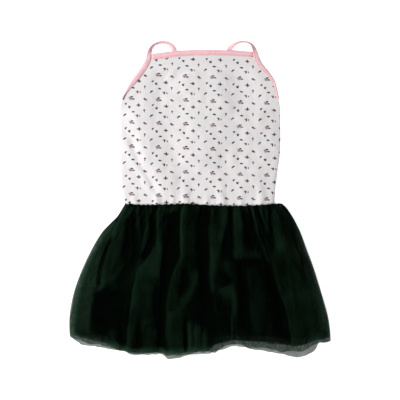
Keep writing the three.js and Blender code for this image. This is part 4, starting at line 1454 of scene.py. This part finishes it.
def front_layer(rows, columns, gap, wall, inset, own, seed):
    """Points of one layer of the front. Own is how far its small folds differ from the other layer's."""
    u, v = wall_grid(rows, columns)
    x, y = skirt_place(u, v, hem_of[wall], *uneven_inset(v, inset, seed))
    u, v = np.broadcast_arrays(u, v)
    side = np.minimum(x - skirt_left(y), skirt_right(y) - x)
    # the height, from the largest forms to the smallest
    loft = SKIRT_CROWN * soft(v, 0, 0.45) - HEM_FALL * soft(v, 0.82, 1.0)
    pleats = gathered(u, x, y, GATHERS, 70)
    fine = 1.5 * (1 - np.abs(waver(u * 61 + 0.8 * waver(v * 9, seed + 2), seed + 1))) ** 1.5
    fine = fine * (1 - soft(v, 0.02, 0.3 + 0.12 * waver(u * 13, seed)))
    swell, painted_light = folded(x, y, FOLDS, 71)
    hollow, shade = folded(x, y, TROUGHS, 171)
    creases = sum(low_fold(x, y, *crease) for crease in SKIRT_CREASES)
    small = small_folds(u, v, 80 + own * seed)
    ruffle = hem_ruffle(u, v, RUFFLES, seed + 3)
    height = loft + 0.5 * pleats + fine + 0.7 * swell - 0.5 * hollow + creases + small + ruffle
    height = height + uneven(0, x, y, CRUSH, seed) * soft(v, 0, 0.2)
    # crests lean over to either side, but not at the skirt's own sides
    lean = 0.4 * pleats * np.sign(waver(u * 15, 75)) + 0.9 * small * waver(u * 12, 76)
    edge = round_over(side, mix(*EDGE_ROUND, v))
    z = mix(SIDE_EDGE, FRONT_SKIRT + height - gap * soft(v, 0.0, 0.15), edge)
    over = soft(np.minimum(u, 1 - u), 0, 0.05)
    x = x + over * lean
    # the seam is scalloped by the gathers, and the cut hem is ragged
    scallop = ridge((u * 29 + 0.7 * waver(u * 11, 77)) % 1 - 0.5, 0.5)
    y = y + 1.1 * scallop * soft(4 - (waist_line(x) - y), 0, 4)
    y = y + 1.8 * v**8 * waver(u * 27, seed + 6) + 0.8 * v**8 * waver(u * 71, seed + 7)
    # no place sinks into the lining
    floor = np.where(side > 14, lining_top(u, v) + LINING_GAP, SIDE_EDGE)
    # painted light: crests, the open hem and the sides are painted lighter, and hollows get painted shade
    painted_light_patches = uneven(0, x, y, PAINTED_LIGHT_PATCHES, seed + 9)
    painted_light = 0.9 * painted_light - 0.5 * shade + painted_light_patches + 1.2 * soft(v, 0.935, 1) + painted_side_light(x, y)
    return together(x, y, np.maximum(z, floor * edge)), painted_light


points, painted_light = front_layer(245, 400, 0.0, "front", 2, 0, 90)
dress["skirt_tulle_front"] = tulle_sheet("skirt_front_tulle_outer", points, TULLE_CUT, outer_tulle, painted_light)
print("top fold, mm", round(float(points[..., 2].max()), 1))
points, painted_light = front_layer(170, 280, 2.2, "inner", 3.5, 1, 95)
front_inner = tulle_sheet("skirt_front_tulle_inner", points, TULLE_CUT, inner_tulle, painted_light)

# %% [markdown]
# Sewing thread shows on the bindings and the loops: a row of short pink stitches along the inner fold.
# One stitch is a small rounded bar, repeated along the line at a steady pitch, each turned along it.

# %% Stitches
STITCH = {"pitch": 2.7, "length": 2.0, "half": 0.17, "sides": 6}
STITCH_LIFT = 2.08
STRAP_STITCH_LINE = [(-1.7, 0.93)]


def stitch_row(name, path, finish):
    """A row of stitches along a path of points in mm."""
    run = lengths(path)
    starts = np.arange(1.5, run[-1] - STITCH["length"] - 1, STITCH["pitch"])
    steps = np.linspace(0, 1, 5)
    thick = np.array([0.35, 0.9, 1.0, 0.9, 0.35]) * STITCH["half"]
    turns = np.linspace(0, TURN, STITCH["sides"], endpoint=False)
    points = []
    faces = []
    places = []
    for start in starts:
        at = start + steps * STITCH["length"]
        middle = np.stack([np.interp(at, run, path[:, k]) for k in range(3)], axis=1)
        middle[:, 2] += 0.12 * np.sin(math.pi * steps)
        ahead = middle[-1] - middle[0]
        ahead /= np.linalg.norm(ahead)
        across = np.cross(ahead, [0, 0, 1.0])
        across /= np.linalg.norm(across)
        up = np.cross(across, ahead)
        ring = middle[:, None, :] + thick[:, None, None] * (
            across * np.cos(turns)[None, :, None] + up * np.sin(turns)[None, :, None]
        )
        faces += tube_faces(len(steps), len(turns), len(steps) * len(turns) * len(points))
        points.append(ring.reshape(-1, 3))
        places.append(together(at[:, None], turns[None, :]).reshape(-1, 2))
    piece = cloth_object(name, np.concatenate(points), faces, np.concatenate(places), finish)
    fix_outside(piece)
    return piece


PLY_MM = 0.4
thread_finish = Finish("pink_thread", Roughness=0.55, Specular_IOR_Level=0.3)
place = thread_finish.cloth_place()
along, around, _ = thread_finish.parts(place)
ply = (along * (TURN / PLY_MM) + around).wave()
thread_pink = thread_finish.blend(ply.step(-1, 1), (0.62, 0.30, 0.33, 1), (0.86, 0.55, 0.57, 1))
pink_thread = thread_finish.set(Base_Color=thread_pink)

stitches = {}
for node, (points, outward) in edges.items():
    out = edge_frame(points, np.asarray(outward, float))
    path = points.copy()
    path[:, :2] += out * STITCH_GROOVE * widths[node][:, None]
    path[:, 2] += STITCH_LIFT
    flat = widths[node] > 0.75
    stitches[node] = stitch_row(node + "_stitches", path[flat][4:-4], pink_thread)
for side, route in STRAP_ROUTES.items():
    rings, _ = strap_rings(route, STRAP_STITCH_LINE)
    node = f"strap_{side}"
    stitches[node] = stitch_row(node + "_stitches", rings[8:-8, 0], pink_thread)

# %% [markdown]
# Last, each piece is hung on the root body that it moves with, and the solids that the main pieces stand
# for are hidden. For each binding and loop the length and width of its flat cut are worked out.

# %% What each piece is
for node, piece in dress.items():
    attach(piece, "root")
    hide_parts(node)
for piece in (back_inner, front_inner):
    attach(piece, "root")
for node, piece in stitches.items():
    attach(piece, "root")

BINDING_WIDTH = 0.0165
STRAP_WIDTH = 0.0155
for node, (points, outward) in edges.items():
    panel = dress["bodice_" + node.split("_")[-1]]
    flat = (float(lengths(points)[-1]) * MM, BINDING_WIDTH)
for side, route in STRAP_ROUTES.items():
    node = f"strap_{side}"
    flat = (float(strap_rings(route, STRAP_SECTION)[1][-1]) * MM, STRAP_WIDTH)

# %% [markdown]
